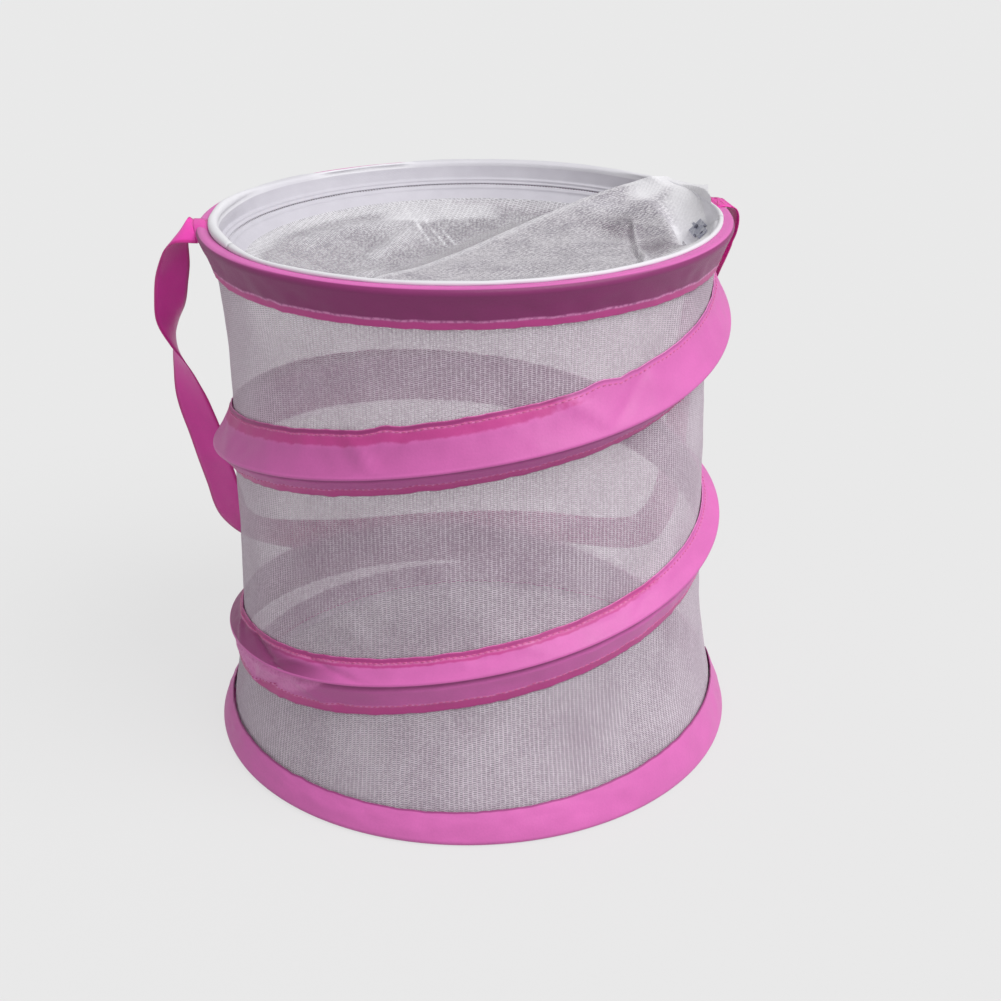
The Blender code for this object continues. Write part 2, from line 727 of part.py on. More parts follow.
def lid_part(name, keep_back, pivot):
    """The part of the net on one side of the fold line, with its thickness."""
    radii = list(lid_net_radii)
    heights = list(lid_net_heights)
    if not keep_back:
        radii += lid_front_radii
        heights += lid_front_heights
    mesh_edit = bmesh.new()
    centre = mesh_edit.verts.new(lid_vertex(0.0, radii[0], heights[0]))
    rings = []
    for radius, height in zip(radii[1:], heights[1:]):
        rings.append([mesh_edit.verts.new(lid_vertex(angle, radius, height)) for angle in whole_turn])
    for index in range(segments_per_turn):
        following = (index + 1) % segments_per_turn
        mesh_edit.faces.new((centre, rings[0][index], rings[0][following]))
        middle_angle = (whole_turn[index] + facet_angle / 2)
        at_front = tape_last < middle_angle < tape_first + 360
        for level in range(len(rings) - 1):
            if level + 2 >= len(lid_net_radii) and not at_front:
                continue
            mesh_edit.faces.new((rings[level][index], rings[level + 1][index],
                                 rings[level + 1][following], rings[level][following]))
    across = (hinge_ends[0] - hinge_ends[1]).normalized()
    backwards = Vector((0.0, 0.0, 1.0)).cross(across)
    side = 1 if keep_back else -1
    everything = mesh_edit.verts[:] + mesh_edit.edges[:] + mesh_edit.faces[:]
    bmesh.ops.bisect_plane(mesh_edit, geom=everything, plane_co=hinge_ends[0] + side * backwards * lid_cut_gap / 2,
                           plane_no=backwards, clear_inner=keep_back, clear_outer=not keep_back)
    loose = [vertex for vertex in mesh_edit.verts if not vertex.link_faces]
    bmesh.ops.delete(mesh_edit, geom=loose, context="VERTS")
    part = finish(name, mesh_edit, white_net, pivot)
    thicken = part.modifiers.new("net thickness", "SOLIDIFY")
    thicken.thickness = net
    thicken.offset = 0.0
    thicken.use_even_offset = True
    return part


lid_part("front_net", False, top_frame)
lid_part("flap_net", True, lid_axis)


# Slider: modelled along X, with the tapes to its sides along Y, then laid on the zipper.
def block(name, low, high, material=slider_metal):
    mesh_edit = bmesh.new()
    bmesh.ops.create_cube(mesh_edit, size=1.0)
    middle = (Vector(low) + Vector(high)) / 2
    bmesh.ops.scale(mesh_edit, vec=Vector(high) - Vector(low), verts=mesh_edit.verts)
    bmesh.ops.translate(mesh_edit, vec=middle, verts=mesh_edit.verts)
    return finish(name, mesh_edit, material)


def helper(piece):
    piece.hide_render = True
    piece.display_type = "WIRE"
    return piece


def join_to(piece, other, operation="UNION"):
    change = piece.modifiers.new(other.name, "BOOLEAN")
    change.operation = operation
    change.solver = "EXACT"
    change.object = helper(other)


slider_inside = tooth_half_height + gap
slider_top = slider_inside + slider_plate


def slider_shell(name, side):
    """One plate of the slider, with a lip along each edge that leaves a slot for the tape."""
    outline = [
        (-slider_half_width, slider_slot), (-slider_half_width, slider_top),
        (slider_half_width, slider_top), (slider_half_width, slider_slot),
        (slider_half_width - slider_lip, slider_slot), (slider_half_width - slider_lip, slider_inside),
        (-slider_half_width + slider_lip, slider_inside), (-slider_half_width + slider_lip, slider_slot),
    ]
    ends = (-slider_length / 2, slider_length / 2)
    sections = [[Vector((x, y, side * z)) for y, z in outline] for x in ends]
    return loft(sections, False, name, slider_metal)


def slider_place(angle):
    """The slider's place on the zipper: X round the cage, Y up the slope, Z square to both."""
    turn = math.radians(angle)
    slope = math.radians(zip_slope)
    outwards = Vector((math.cos(turn), math.sin(turn), 0.0))
    around = Vector((-math.sin(turn), math.cos(turn), 0.0))
    up_slope = outwards * math.cos(slope) + Vector((0.0, 0.0, math.sin(slope)))
    # X runs backwards round the cage, so that X, Y and Z make a right-handed set.
    along = -around
    square = along.cross(up_slope)
    frame = Matrix((along, up_slope, square)).transposed().to_4x4()
    frame.translation = place(angle, zip_radius, zip_height)
    return frame


slider = slider_shell("zip_slider", 1)
join_to(slider, slider_shell("slider_lower_plate", -1))
post_start = slider_length / 2 - slider_post_length
join_to(slider, block("slider_post", (post_start, -slider_post_half_width, -slider_inside - slider_plate / 2),
                      (post_start + slider_post_length, slider_post_half_width, slider_inside + slider_plate / 2)))
crown_top = slider_top + crown_rise
crown_low = slider_top - slider_plate / 2
for foot_name, foot_start in (("crown_foot_near", -crown_half_length), ("crown_foot_far", crown_half_length - crown_foot)):
    join_to(slider, block(foot_name, (foot_start, -crown_half_width, crown_low),
                          (foot_start + crown_foot, crown_half_width, crown_top + crown_bar / 2)))
join_to(slider, block("crown_bar", (-crown_half_length, -crown_half_width, crown_top),
                      (crown_half_length, crown_half_width, crown_top + crown_bar)))

parked = slider_place(slider_park_angle)
for piece_name in ("zip_slider", "slider_lower_plate", "slider_post", "crown_foot_near", "crown_foot_far", "crown_bar"):
    piece = bpy.data.objects[piece_name]
    piece.parent = slider_axis
    piece.matrix_basis = Matrix.Translation(-world_place(slider_axis)) @ parked

# Pull: its bar turns under the crown, its arms pass the crown on both sides.
pull_axis_height = slider_top + crown_rise / 2
pull_axis_spot = parked @ Vector((0.0, 0.0, pull_axis_height))
pull_axis = make_pivot("pull_axis", pull_axis_spot, slider_axis)
arm_half_width = pull_window_half_width + pull_arm
pull_outline = [
    (-pull_bar / 2, -arm_half_width), (pull_neck_length, -arm_half_width),
    (pull_neck_length + pull_half_width - arm_half_width, -pull_half_width),
    (pull_length - pull_bevel, -pull_half_width), (pull_length, -pull_half_width + pull_bevel),
    (pull_length, pull_half_width - pull_bevel), (pull_length - pull_bevel, pull_half_width),
    (pull_neck_length + pull_half_width - arm_half_width, pull_half_width),
    (pull_neck_length, arm_half_width), (-pull_bar / 2, arm_half_width),
]
pull = loft([[Vector((x, y, z)) for x, y in pull_outline] for z in (-pull_thickness / 2, pull_thickness / 2)],
            False, "zip_pull", slider_metal)
window = block("pull_window", (pull_bar / 2, -pull_window_half_width, -pull_thickness / 2 - cut_overrun),
               (pull_window_length + pull_bar / 2, pull_window_half_width, pull_thickness / 2 + cut_overrun))
join_to(pull, window, "DIFFERENCE")
hole_edit = bmesh.new()
bmesh.ops.create_cone(hole_edit, cap_ends=True, segments=pull_round_sides, radius1=pull_hole_radius,
                      radius2=pull_hole_radius, depth=pull_thickness + 2 * cut_overrun,
                      matrix=Matrix.Translation((pull_length - pull_hole_inset, 0.0, 0.0)))
hole = finish("pull_hole", hole_edit, slider_metal)
join_to(pull, hole, "DIFFERENCE")
pull_turn = parked.to_3x3().to_4x4()
for piece in (pull, window, hole):
    piece.parent = pull_axis
    piece.matrix_basis = pull_turn

# Carry strap and the tabs that hold it on the top ring.
tab_height = top_wire_height + ring_channel + fabric / 2 + gap + strap_thickness / 2
tab_end_height = tab_height - tab_droop


def strap_tab(name, angle):
    """The sewn end of the strap, laid over the top ring."""
    turn = math.radians(angle)
    outwards = Vector((math.cos(turn), math.sin(turn), 0.0))
    sideways = Vector((-math.sin(turn), math.cos(turn), 0.0)) * strap_width / 2
    path = [(tab_inner_radius, tab_height), (tab_bend_radius, tab_height), (tab_outer_radius, tab_end_height)]
    outline = strip(path, strap_thickness)
    sections = []
    for side in (-1, 1):
        sections.append([outwards * radius + Vector((0.0, 0.0, height)) + sideways * side
                         for radius, height in outline])
    loft(sections, False, name, pink_ribbon, top_frame)


strap_tab("strap_tab_right", strap_angle)
strap_tab("strap_tab_left", strap_angle + 180)


def cylinder_frame(angle, radius, height, lay):
    """A point of the strap, and the way its width points there."""
    turn = math.radians(angle)
    outwards = Vector((math.cos(turn), math.sin(turn), 0.0))
    around = Vector((-math.sin(turn), math.cos(turn), 0.0))
    spot = outwards * radius + Vector((0.0, 0.0, height))
    return spot, (outwards * lay[0] + around * lay[1] + Vector((0.0, 0.0, lay[2]))).normalized()


def strap_knots():
    knots = [cylinder_frame(strap_angle + 180, tab_outer_radius + gap, tab_end_height, (0.0, 1.0, 0.0))]
    for angle, radius_share, height_share, lay in strap_route_shares:
        knots.append(cylinder_frame(angle, radius_share * top_wire_radius, height_share * top_wire_height, lay))
    knots.append(cylinder_frame(strap_angle, tab_outer_radius + gap, tab_end_height, (0.0, 1.0, 0.0)))
    return knots


def strap_sections():
    knots = strap_knots()
    spots = [spot for spot, lay in knots]
    lays = [lay for spot, lay in knots]
    steps = (len(knots) - 1) * strap_steps_per_stretch
    points = [spline(spots, index / strap_steps_per_stretch) for index in range(steps + 1)]
    widths = [spline(lays, index / strap_steps_per_stretch) for index in range(steps + 1)]
    sections = []
    for index, point in enumerate(points):
        along = (points[min(index + 1, steps)] - points[max(index - 1, 0)]).normalized()
        if index in (0, steps):
            level = widths[index].cross(Vector((0.0, 0.0, 1.0)))
            along = level if level.dot(along) > 0 else -level
        across = (widths[index] - along * widths[index].dot(along)).normalized() * strap_width / 2
        thick = along.cross(across).normalized() * strap_thickness / 2
        sections.append([point - across - thick, point + across - thick,
                         point + across + thick, point - across + thick])
    return sections


def ribbon(sections, name, material, pivot):
    """A thin twisted band through sections of four points; both faces are split along the same diagonals."""
    mesh_edit = bmesh.new()
    rings = [[mesh_edit.verts.new(point) for point in section] for section in sections]
    mesh_edit.faces.new(rings[0])
    mesh_edit.faces.new(rings[-1])
    for near, far in zip(rings, rings[1:]):
        mesh_edit.faces.new((near[0], near[1], far[1]))
        mesh_edit.faces.new((near[0], far[1], far[0]))
        mesh_edit.faces.new((near[2], near[3], far[2]))
        mesh_edit.faces.new((near[3], far[3], far[2]))
        for first, second in ((1, 2), (3, 0)):
            mesh_edit.faces.new((near[first], near[second], far[second]))
            mesh_edit.faces.new((near[first], far[second], far[first]))
    return finish(name, mesh_edit, material, pivot)


ribbon(strap_sections(), "carry_strap", pink_ribbon, strap_axis)
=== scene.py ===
"""Pop-up insect cage: cloth, net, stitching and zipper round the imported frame."""

from __future__ import annotations

import logging
import math
from dataclasses import dataclass, field
from enum import Enum
from typing import Callable, Sequence

import bpy
import numpy as np
from mathutils import Matrix, Vector, noise


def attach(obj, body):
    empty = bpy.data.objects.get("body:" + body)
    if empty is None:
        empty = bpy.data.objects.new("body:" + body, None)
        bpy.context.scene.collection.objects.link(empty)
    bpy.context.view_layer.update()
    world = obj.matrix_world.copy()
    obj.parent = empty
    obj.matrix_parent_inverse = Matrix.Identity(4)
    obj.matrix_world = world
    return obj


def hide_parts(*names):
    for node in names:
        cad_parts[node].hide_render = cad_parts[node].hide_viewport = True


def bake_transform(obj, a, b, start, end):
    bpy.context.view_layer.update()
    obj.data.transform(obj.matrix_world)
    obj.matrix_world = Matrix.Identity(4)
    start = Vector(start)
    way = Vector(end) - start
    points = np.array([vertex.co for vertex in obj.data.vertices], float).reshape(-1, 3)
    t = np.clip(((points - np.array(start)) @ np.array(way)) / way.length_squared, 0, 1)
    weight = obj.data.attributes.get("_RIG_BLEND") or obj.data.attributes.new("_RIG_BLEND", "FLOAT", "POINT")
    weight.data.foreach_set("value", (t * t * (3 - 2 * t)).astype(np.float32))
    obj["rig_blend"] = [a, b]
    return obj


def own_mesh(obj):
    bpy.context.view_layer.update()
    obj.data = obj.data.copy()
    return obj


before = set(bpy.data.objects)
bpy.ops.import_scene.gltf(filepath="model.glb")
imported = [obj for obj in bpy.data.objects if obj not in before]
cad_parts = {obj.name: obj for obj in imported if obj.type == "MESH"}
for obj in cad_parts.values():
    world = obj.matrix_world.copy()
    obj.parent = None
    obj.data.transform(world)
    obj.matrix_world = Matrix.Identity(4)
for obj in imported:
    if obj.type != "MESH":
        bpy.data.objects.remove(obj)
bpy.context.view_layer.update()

LOG = logging.getLogger("insect_cage")

Array = np.ndarray
Pair = tuple[float, float]
Triple = tuple[float, float, float]
Colour = Triple


# Numbers

def smoothstep(low: float, high: float, value: float | Array) -> float | Array:
    """Ease from 0 at low to 1 at high.

    Args:
        low: Where the rise starts.
        high: Where the rise ends.
        value: The number or array to ease.

    Returns:
        The eased share, from 0 to 1.
    """
    share = np.clip((value - low) / (high - low), 0.0, 1.0)
    eased = share * share * (3 - 2 * share)
    return eased if isinstance(value, np.ndarray) else float(eased)


def fade(low: float, high: float, value: float | Array) -> float | Array:
    """Ease from 1 at low to 0 at high."""
    return 1 - smoothstep(low, high, value)


def hump(value: float | Array, middle: float, width: float) -> float | Array:
    """A smooth hump of height 1 round a middle.

    Args:
        value: The number or array to read.
        middle: Where the hump stands.
        width: Its half width, at a height of about a third.

    Returns:
        The hump's height, from 0 to 1.
    """
    height = np.exp(-((value - middle) / width) ** 2)
    return height if isinstance(value, np.ndarray) else float(height)


def between(value: float | Array, rise: Pair, fall: Pair) -> float | Array:
    """A smooth stretch of height 1.

    Args:
        value: The number or array to read.
        rise: Where the stretch starts to rise from 0, and where it reaches 1.
        fall: Where it starts to fall, and where it is 0 again.

    Returns:
        The stretch's height, from 0 to 1.
    """
    return smoothstep(*rise, value) * fade(*fall, value)


def wrapped(angle: float | Array) -> float | Array:
    """An angle in degrees brought between -180 and 180."""
    return (np.asarray(angle) + 180.0) % 360.0 - 180.0


def drift(x: float, y: float, z: float, seed: float = 0.0) -> float:
    """Smooth noise between about -1 and 1 that is the same each run."""
    return noise.noise(Vector((x + seed * 7.31, y - seed * 3.7, z + seed * 1.9)))


def hermite(share: float, start: Array, leaving: Array, stop: Array, arriving: Array) -> Array:
    """A smooth step from one value to another.

    Args:
        share: How far along, from 0 to 1.
        start: The first value.
        leaving: The slope there.
        stop: The last value.
        arriving: The slope there.

    Returns:
        The value at the share.
    """
    cube, square = share ** 3, share ** 2
    return ((2 * cube - 3 * square + 1) * start + (cube - 2 * square + share) * leaving
            + (3 * square - 2 * cube) * stop + (cube - square) * arriving)


def spline(values: Sequence[Array], position: float) -> Array:
    """A smooth curve through evenly spaced values.

    Args:
        values: The values that it passes through.
        position: Where to read it, counted from the first value.

    Returns:
        The value there.
    """
    left = min(max(int(position), 0), len(values) - 2)
    before, start = values[max(left - 1, 0)], values[left]
    stop, after = values[left + 1], values[min(left + 2, len(values) - 1)]
    return hermite(position - left, start, (stop - before) / 2, stop, (after - start) / 2)


def place(angle: float, radius: float, height: float) -> Triple:
    """The point at an angle in degrees, a radius and a height."""
    turn = math.radians(angle)
    return (radius * math.cos(turn), radius * math.sin(turn), height)


def directions(angle: float) -> tuple[Array, Array]:
    """The ways outwards and round the cage at an angle in degrees."""
    turn = math.radians(angle)
    return np.array((math.cos(turn), math.sin(turn), 0.0)), np.array((-math.sin(turn), math.cos(turn), 0.0))


# The cage's form

@dataclass(frozen=True)
class CageForm:
    """The sizes that the sleeves, nets and seams share, in metres and degrees."""

    top_wire_height: float = 0.307
    top_wire_radius: float = 0.1444
    bottom_wire_height: float = 0.0026
    bottom_wire_radius: float = 0.1546
    spiral_wire_radius: float = 0.147
    ring_channel: float = 0.00235
    spiral_channel: float = 0.00155
    tip_clearance: float = 0.00205
    seam_offset: float = 0.0009
    seam_clearance: float = 0.0035
    bottom_seam_height: float = 0.017
    bottom_seam_rise: float = 0.009
    top_seam_height: float = 0.288
    wall_clearance: float = 0.0003
    spiral_start: float = 7.5
    spiral_end: float = 810.0
    sleeve_start: float = 3.9
    sleeve_end: float = 813.6
    spiral_heights: tuple[float, ...] = (
        0.030, 0.070, 0.131, 0.168, 0.216, 0.263, 0.329, 0.391, 0.448, 0.496,
        0.532, 0.563, 0.594, 0.653, 0.716, 0.769, 0.838, 0.926, 0.967)
    wall_heights: tuple[float, ...] = (
        0.003, 0.065, 0.12, 0.17, 0.24, 0.33, 0.45, 0.6, 0.72, 0.82, 0.9, 0.94, 0.988)
    wall_radii: tuple[float, ...] = (
        1.044, 1.031, 1.008, 0.989, 0.966, 0.958, 0.951, 0.947, 0.936, 0.937, 0.951, 0.961, 0.969)
    zip_radius: float = 0.132
    zip_height: float = 0.297
    zip_slope: float = 45.0
    zip_start: float = 7.5
    zip_end: float = 195.0
    zip_tape_end: float = 15.0
    lid_crest: float = 0.3092
    lid_sag: float = 0.0425

    def wall_radius(self, height: float | Array) -> float | Array:
        """The net wall's radius at a height."""
        heights = np.array(self.wall_heights) * self.top_wire_height
        return np.interp(height, heights, np.array(self.wall_radii) * self.top_wire_radius)

    def spiral_centre(self, angle: float) -> Pair:
        """The middle of the spiral wire.

        Args:
            angle: The unwound angle in degrees.

        Returns:
            Its radius and height.
        """
        angle = min(max(angle, self.spiral_start), self.spiral_end)
        height = float(spline(self.spiral_heights, angle / 45.0)) * self.top_wire_height
        clear = float(self.wall_radius(height)) + self.tip_clearance + self.wall_clearance
        radius = max(self.spiral_wire_radius, clear)
        end_height = self.spiral_heights[-1] * self.top_wire_height
        tucked = float(self.wall_radius(end_height)) + self.tip_clearance + self.wall_clearance
        return radius + (tucked - radius) * smoothstep(735.0, self.spiral_end, angle), height

    def bottom_seam(self, angle: float) -> float:
        """The height of the bottom sleeve's upper edge at an angle."""
        turned = angle % 360
        if turned < self.spiral_start - self.sleeve_start:
            return self.bottom_seam_height + self.bottom_seam_rise
        if turned < 180:
            return min(self.bottom_seam_height, self.spiral_centre(turned)[1] - self.seam_clearance)
        return self.bottom_seam_height + self.bottom_seam_rise * smoothstep(250.0, 350.0, turned)

    def top_seam(self, angle: float) -> float:
        """The height of the top sleeve's lower edge at an angle."""
        turned = angle % 360
        if turned < self.sleeve_end - 720:
            return max(self.top_seam_height, self.spiral_centre(turned + 720)[1] + self.seam_clearance)
        return self.top_seam_height

    def seam_point(self, height: float) -> Pair:
        """The radius and height of a seam on the wall."""
        return float(self.wall_radius(height)) + self.seam_offset, height

    def zip_point(self, along: float, above: float) -> Pair:
        """A point of the zipper's section: up its slope, and square to it."""
        slope = math.radians(self.zip_slope)
        return (self.zip_radius + along * math.cos(slope) - above * math.sin(slope),
                self.zip_height + along * math.sin(slope) + above * math.cos(slope))


FORM = CageForm()
ARC_POINTS = 9


class End(Enum):
    """An end of the carry strap."""

    LEFT = 1
    RIGHT = -1


# Meshes

def new_object(name: str, mesh: bpy.types.Mesh) -> bpy.types.Object:
    """Link a mesh into the scene as an object at the origin."""
    piece = bpy.data.objects.new(name, mesh)
    bpy.context.scene.collection.objects.link(piece)
    return piece


def cloth_grid(name: str, points: Array, uv: Array, closed: bool = False, flip: bool = False,
               marks: dict[str, Array] | None = None) -> bpy.types.Object:
    """A sheet of quads over a grid of points.

    Args:
        name: The piece's name.
        points: Rows by columns by three coordinates.
        uv: Rows by columns by two, in metres along the cloth; one row more where closed.
        closed: Whether the last row joins the first one.
        flip: Whether to turn the faces over.
        marks: Values for each point, kept as attributes that the finishes read.

    Returns:
        The new object.
    """
    rows, columns = points.shape[:2]
    spans = rows if closed else rows - 1
    first = np.repeat(np.arange(spans), columns - 1)
    column = np.tile(np.arange(columns - 1), spans)
    corner_rows = np.stack([first, first + 1, first + 1, first], axis=1)
    corner_columns = np.stack([column, column, column + 1, column + 1], axis=1)
    if flip:
        corner_rows, corner_columns = corner_rows[:, ::-1], corner_columns[:, ::-1]
    faces = (corner_rows % rows) * columns + corner_columns
    mesh = bpy.data.meshes.new(name)
    mesh.from_pydata(points.reshape(-1, 3).tolist(), [], faces.tolist())
    layer = mesh.uv_layers.new(name="cloth")
    layer.data.foreach_set("uv", uv[corner_rows, corner_columns].astype(np.float32).ravel())
    for mark, values in (marks or {}).items():
        attribute = mesh.attributes.new(mark, "FLOAT", "POINT")
        attribute.data.foreach_set("value", np.asarray(values, np.float32).ravel())
    mesh.shade_smooth()
    mesh.update()
    return new_object(name, mesh)


def revolve(name: str, angles: Sequence[float], section_at: Callable[[float], Array],
            closed: bool = False, flip: bool = False,
            marks_at: Callable[[float], dict[str, Array]] | None = None) -> bpy.types.Object:
    """A sheet swept round the cage's axis.

    Args:
        name: The piece's name.
        angles: The angles of its sections in degrees.
        section_at: Gives the section at an angle, as points of radius and height.
        closed: Whether the sheet goes all the way round.
        flip: Whether to turn the faces over.
        marks_at: Gives the attribute values at an angle, one for each section point.

    Returns:
        The new object.
    """
    sections = np.array([section_at(angle) for angle in angles], float)
    turns = np.radians(np.array(angles))[:, None]
    points = np.stack([sections[..., 0] * np.cos(turns), sections[..., 0] * np.sin(turns),
                       sections[..., 1]], axis=2)
    steps = np.linalg.norm(np.diff(sections, axis=1), axis=2)
    across = np.concatenate([np.zeros((len(angles), 1)), np.cumsum(steps, axis=1)], axis=1)
    along = np.radians(np.array(angles))[:, None] * FORM.spiral_wire_radius + 0 * across
    uv = np.stack([along, across], axis=2)
    if closed:
        last = uv[:1].copy()
        last[..., 0] += 2 * math.pi * FORM.spiral_wire_radius
        uv = np.concatenate([uv, last])
    marks = None
    if marks_at is not None:
        found = [marks_at(angle) for angle in angles]
        marks = {key: np.array([one[key] for one in found]) for key in found[0]}
    return cloth_grid(name, points, uv, closed, flip, marks)


def thicken(piece: bpy.types.Object, thickness: float, offset: float = -1.0) -> None:
    """Give a sheet its thickness for good.

    Args:
        piece: The sheet.
        thickness: In metres.
        offset: Where the sheet lies in the new wall, -1 for its outer face.
    """
    change = piece.modifiers.new("thickness", "SOLIDIFY")
    change.thickness = thickness
    change.offset = offset
    change.use_rim = True
    settle(piece)


def settle(piece: bpy.types.Object) -> None:
    """Turn a piece's modifiers into plain mesh."""
    bpy.context.view_layer.update()
    graph = bpy.context.evaluated_depsgraph_get()
    mesh = bpy.data.meshes.new_from_object(piece.evaluated_get(graph))
    piece.modifiers.clear()
    old = piece.data
    piece.data = mesh
    bpy.data.meshes.remove(old)
    mesh.name = piece.name


# Finishes

class Board:
    """A material's node tree, with short ways to add and join nodes."""

    def __init__(self, name: str) -> None:
        """Start a material with an empty tree and a principled shader.

        Args:
            name: The material's name.
        """
        self.material = bpy.data.materials.new(name)
        self.material.use_nodes = True
        self.tree = self.material.node_tree
        self.shader = self.tree.nodes["Principled BSDF"]

    def node(self, kind: str, values: dict[str | int, object] | None = None,
             **settings: object) -> bpy.types.Node:
        """Add a node, set its properties, and set or link its inputs."""
        made = self.tree.nodes.new(kind)
        for key, value in settings.items():
            setattr(made, key, value)
        for key, value in (values or {}).items():
            self.feed(made.inputs[key], value)
        return made

    def join(self, source: bpy.types.NodeSocket, target: bpy.types.NodeSocket) -> None:
        """Link two sockets."""
        self.tree.links.new(source, target)

    def feed(self, socket: bpy.types.NodeSocket, value: object) -> None:
        """Link a socket where the value is one, or set it."""
        if isinstance(value, bpy.types.NodeSocket):
            self.join(value, socket)
        else:
            socket.default_value = value

    def give(self, name: str, value: object) -> None:
        """Link or set an input of the shader."""
        self.feed(self.shader.inputs[name], value)

    def maths(self, operation: str, first: object, second: object = 0.0, third: object = 0.0,
              clamp: bool = False) -> bpy.types.NodeSocket:
        """Add a maths node.

        Args:
            operation: Its operation.
            first: Its first value or socket.
            second: Its second value or socket.
            third: Its third value or socket.
            clamp: Whether the result stays between 0 and 1.

        Returns:
            Its result.
        """
        values = {0: first, 1: second, 2: third}
        return self.node("ShaderNodeMath", values, operation=operation, use_clamp=clamp).outputs[0]

    def scaled(self, value: object, gain: object, base: object, clamp: bool = False) -> bpy.types.NodeSocket:
        """A value times a gain, on top of a base."""
        return self.maths("MULTIPLY_ADD", value, gain, base, clamp)

    def times(self, first: object, second: object, clamp: bool = False) -> bpy.types.NodeSocket:
        """The product of two values."""
        return self.maths("MULTIPLY", first, second, clamp=clamp)

    def plus(self, first: object, second: object) -> bpy.types.NodeSocket:
        """The sum of two values."""
        return self.maths("ADD", first, second)

    def minus(self, first: object, second: object, clamp: bool = False) -> bpy.types.NodeSocket:
        """The difference of two values."""
        return self.maths("SUBTRACT", first, second, clamp=clamp)

    def ease(self, value: object, low: float, high: float) -> bpy.types.NodeSocket:
        """A smooth step of a socket from 0 at low to 1 at high."""
        values = {"Value": value, "From Min": low, "From Max": high}
        return self.node("ShaderNodeMapRange", values, interpolation_type="SMOOTHSTEP").outputs["Result"]

    def mix(self, share: object, first: object, second: object) -> bpy.types.NodeSocket:
        """Mix two colours.

        Args:
            share: How much of the second one, as a number or socket.
            first: The first colour or socket.
            second: The second colour or socket.

        Returns:
            The mixed colour.
        """
        colours = [(*colour, 1.0) if isinstance(colour, tuple) else colour for colour in (first, second)]
        values = {0: share, 6: colours[0], 7: colours[1]}
        return self.node("ShaderNodeMix", values, data_type="RGBA").outputs[2]

    def noise(self, scale: float, detail: float = 2.0, roughness: float = 0.5) -> bpy.types.NodeSocket:
        """Noise on object coordinates."""
        values = {"Scale": scale, "Detail": detail, "Roughness": roughness, "Vector": self.spot()}
        return self.node("ShaderNodeTexNoise", values).outputs["Fac"]

    def spot(self) -> bpy.types.NodeSocket:
        """The object coordinates."""
        if not hasattr(self, "_spot"):
            self._spot = self.node("ShaderNodeTexCoord").outputs["Object"]
        return self._spot

    def cloth(self) -> bpy.types.NodeSocket:
        """The cloth's own coordinates, in metres along and across it."""
        if not hasattr(self, "_cloth"):
            self._cloth = self.node("ShaderNodeUVMap", uv_map="cloth").outputs["UV"]
        return self._cloth

    def cloth_axes(self) -> tuple[bpy.types.NodeSocket, bpy.types.NodeSocket]:
        """The cloth's coordinates as two numbers."""
        split = self.node("ShaderNodeSeparateXYZ", {0: self.cloth()})
        return split.outputs[0], split.outputs[1]

    def mark(self, name: str) -> bpy.types.NodeSocket:
        """The value of a piece's attribute."""
        return self.node("ShaderNodeAttribute", attribute_name=name).outputs["Fac"]

    def bump(self, height: bpy.types.NodeSocket, strength: float, distance: float) -> None:
        """Feed a height to the shader's normal."""
        made = self.node("ShaderNodeBump", {"Strength": strength, "Distance": distance, "Height": height})
        self.give("Normal", made.outputs["Normal"])


@dataclass(frozen=True)
class Taffeta:
    """Plain-woven shiny cloth, darker where a seam doubles it, with painted shade and painted light laid on
    by its marks.
    """

    name: str
    slot: str
    colour: Colour
    seam_colour: Colour
    painted_shade_colour: Colour = (0.27, 0.026, 0.155)
    pale_trim_and_painted_light_colour: Colour = (0.98, 0.38, 0.74)
    shade: float = 0.12
    weave: float = 0.0007
    roughness: float = 0.5
    sheen: float = 0.12

    def build(self) -> bpy.types.Material:
        """Make the material."""
        board = Board(self.name)
        along, across = board.cloth_axes()
        warp = board.maths("SINE", board.times(along, 2 * math.pi / self.weave))
        weft = board.maths("SINE", board.times(across, 2 * math.pi / self.weave))
        threads = board.times(warp, weft)
        blotches = board.noise(38.0, 3.0)
        flecks = board.noise(900.0, 2.0)
        tone = board.scaled(board.minus(blotches, 0.5), 2 * self.shade, 1.0)
        tone = board.scaled(board.minus(flecks, 0.5), self.shade, tone)
        worn = board.times(board.minus(board.noise(260.0, 3.0), 0.42), 0.5)
        seam = board.ease(board.plus(board.mark("seam"), worn), 0.30, 0.62)
        cloth_and_painted_shading = board.mix(seam, self.colour, self.seam_colour)
        # painted shade: the deep mark darkens the grooves under the wires, seam edges, twisted and
        # down-turned faces, and the top ring's outer face
        deep = board.maths("MAXIMUM", board.mark("deep"), 0.0, clamp=True)
        cloth_and_painted_shading = board.mix(deep, cloth_and_painted_shading, self.painted_shade_colour)
        # pale edges and stitch lines, and painted light on a wedge of the spiral's lower face
        broken = board.ease(board.noise(520.0, 2.0), 0.30, 0.62)
        pale = board.times(board.mark("trim"), board.scaled(broken, 0.7, 0.3))
        cloth_and_painted_shading = board.mix(board.maths("MAXIMUM", pale, 0.0, clamp=True), cloth_and_painted_shading, self.pale_trim_and_painted_light_colour)
        tinted = board.node("ShaderNodeVectorMath", {0: cloth_and_painted_shading, "Scale": tone}, operation="SCALE")
        board.give("Base Color", tinted.outputs[0])
        rough = board.scaled(blotches, 0.22, self.roughness - 0.11)
        board.give("Roughness", rough)
        board.give("Sheen Weight", self.sheen)
        board.give("Sheen Roughness", 0.4)
        board.give("Sheen Tint", (1.0, 0.75, 0.9, 1.0))
        height = board.plus(board.times(threads, 0.25), flecks)
        board.bump(height, 0.22, 0.0004)
        return board.material


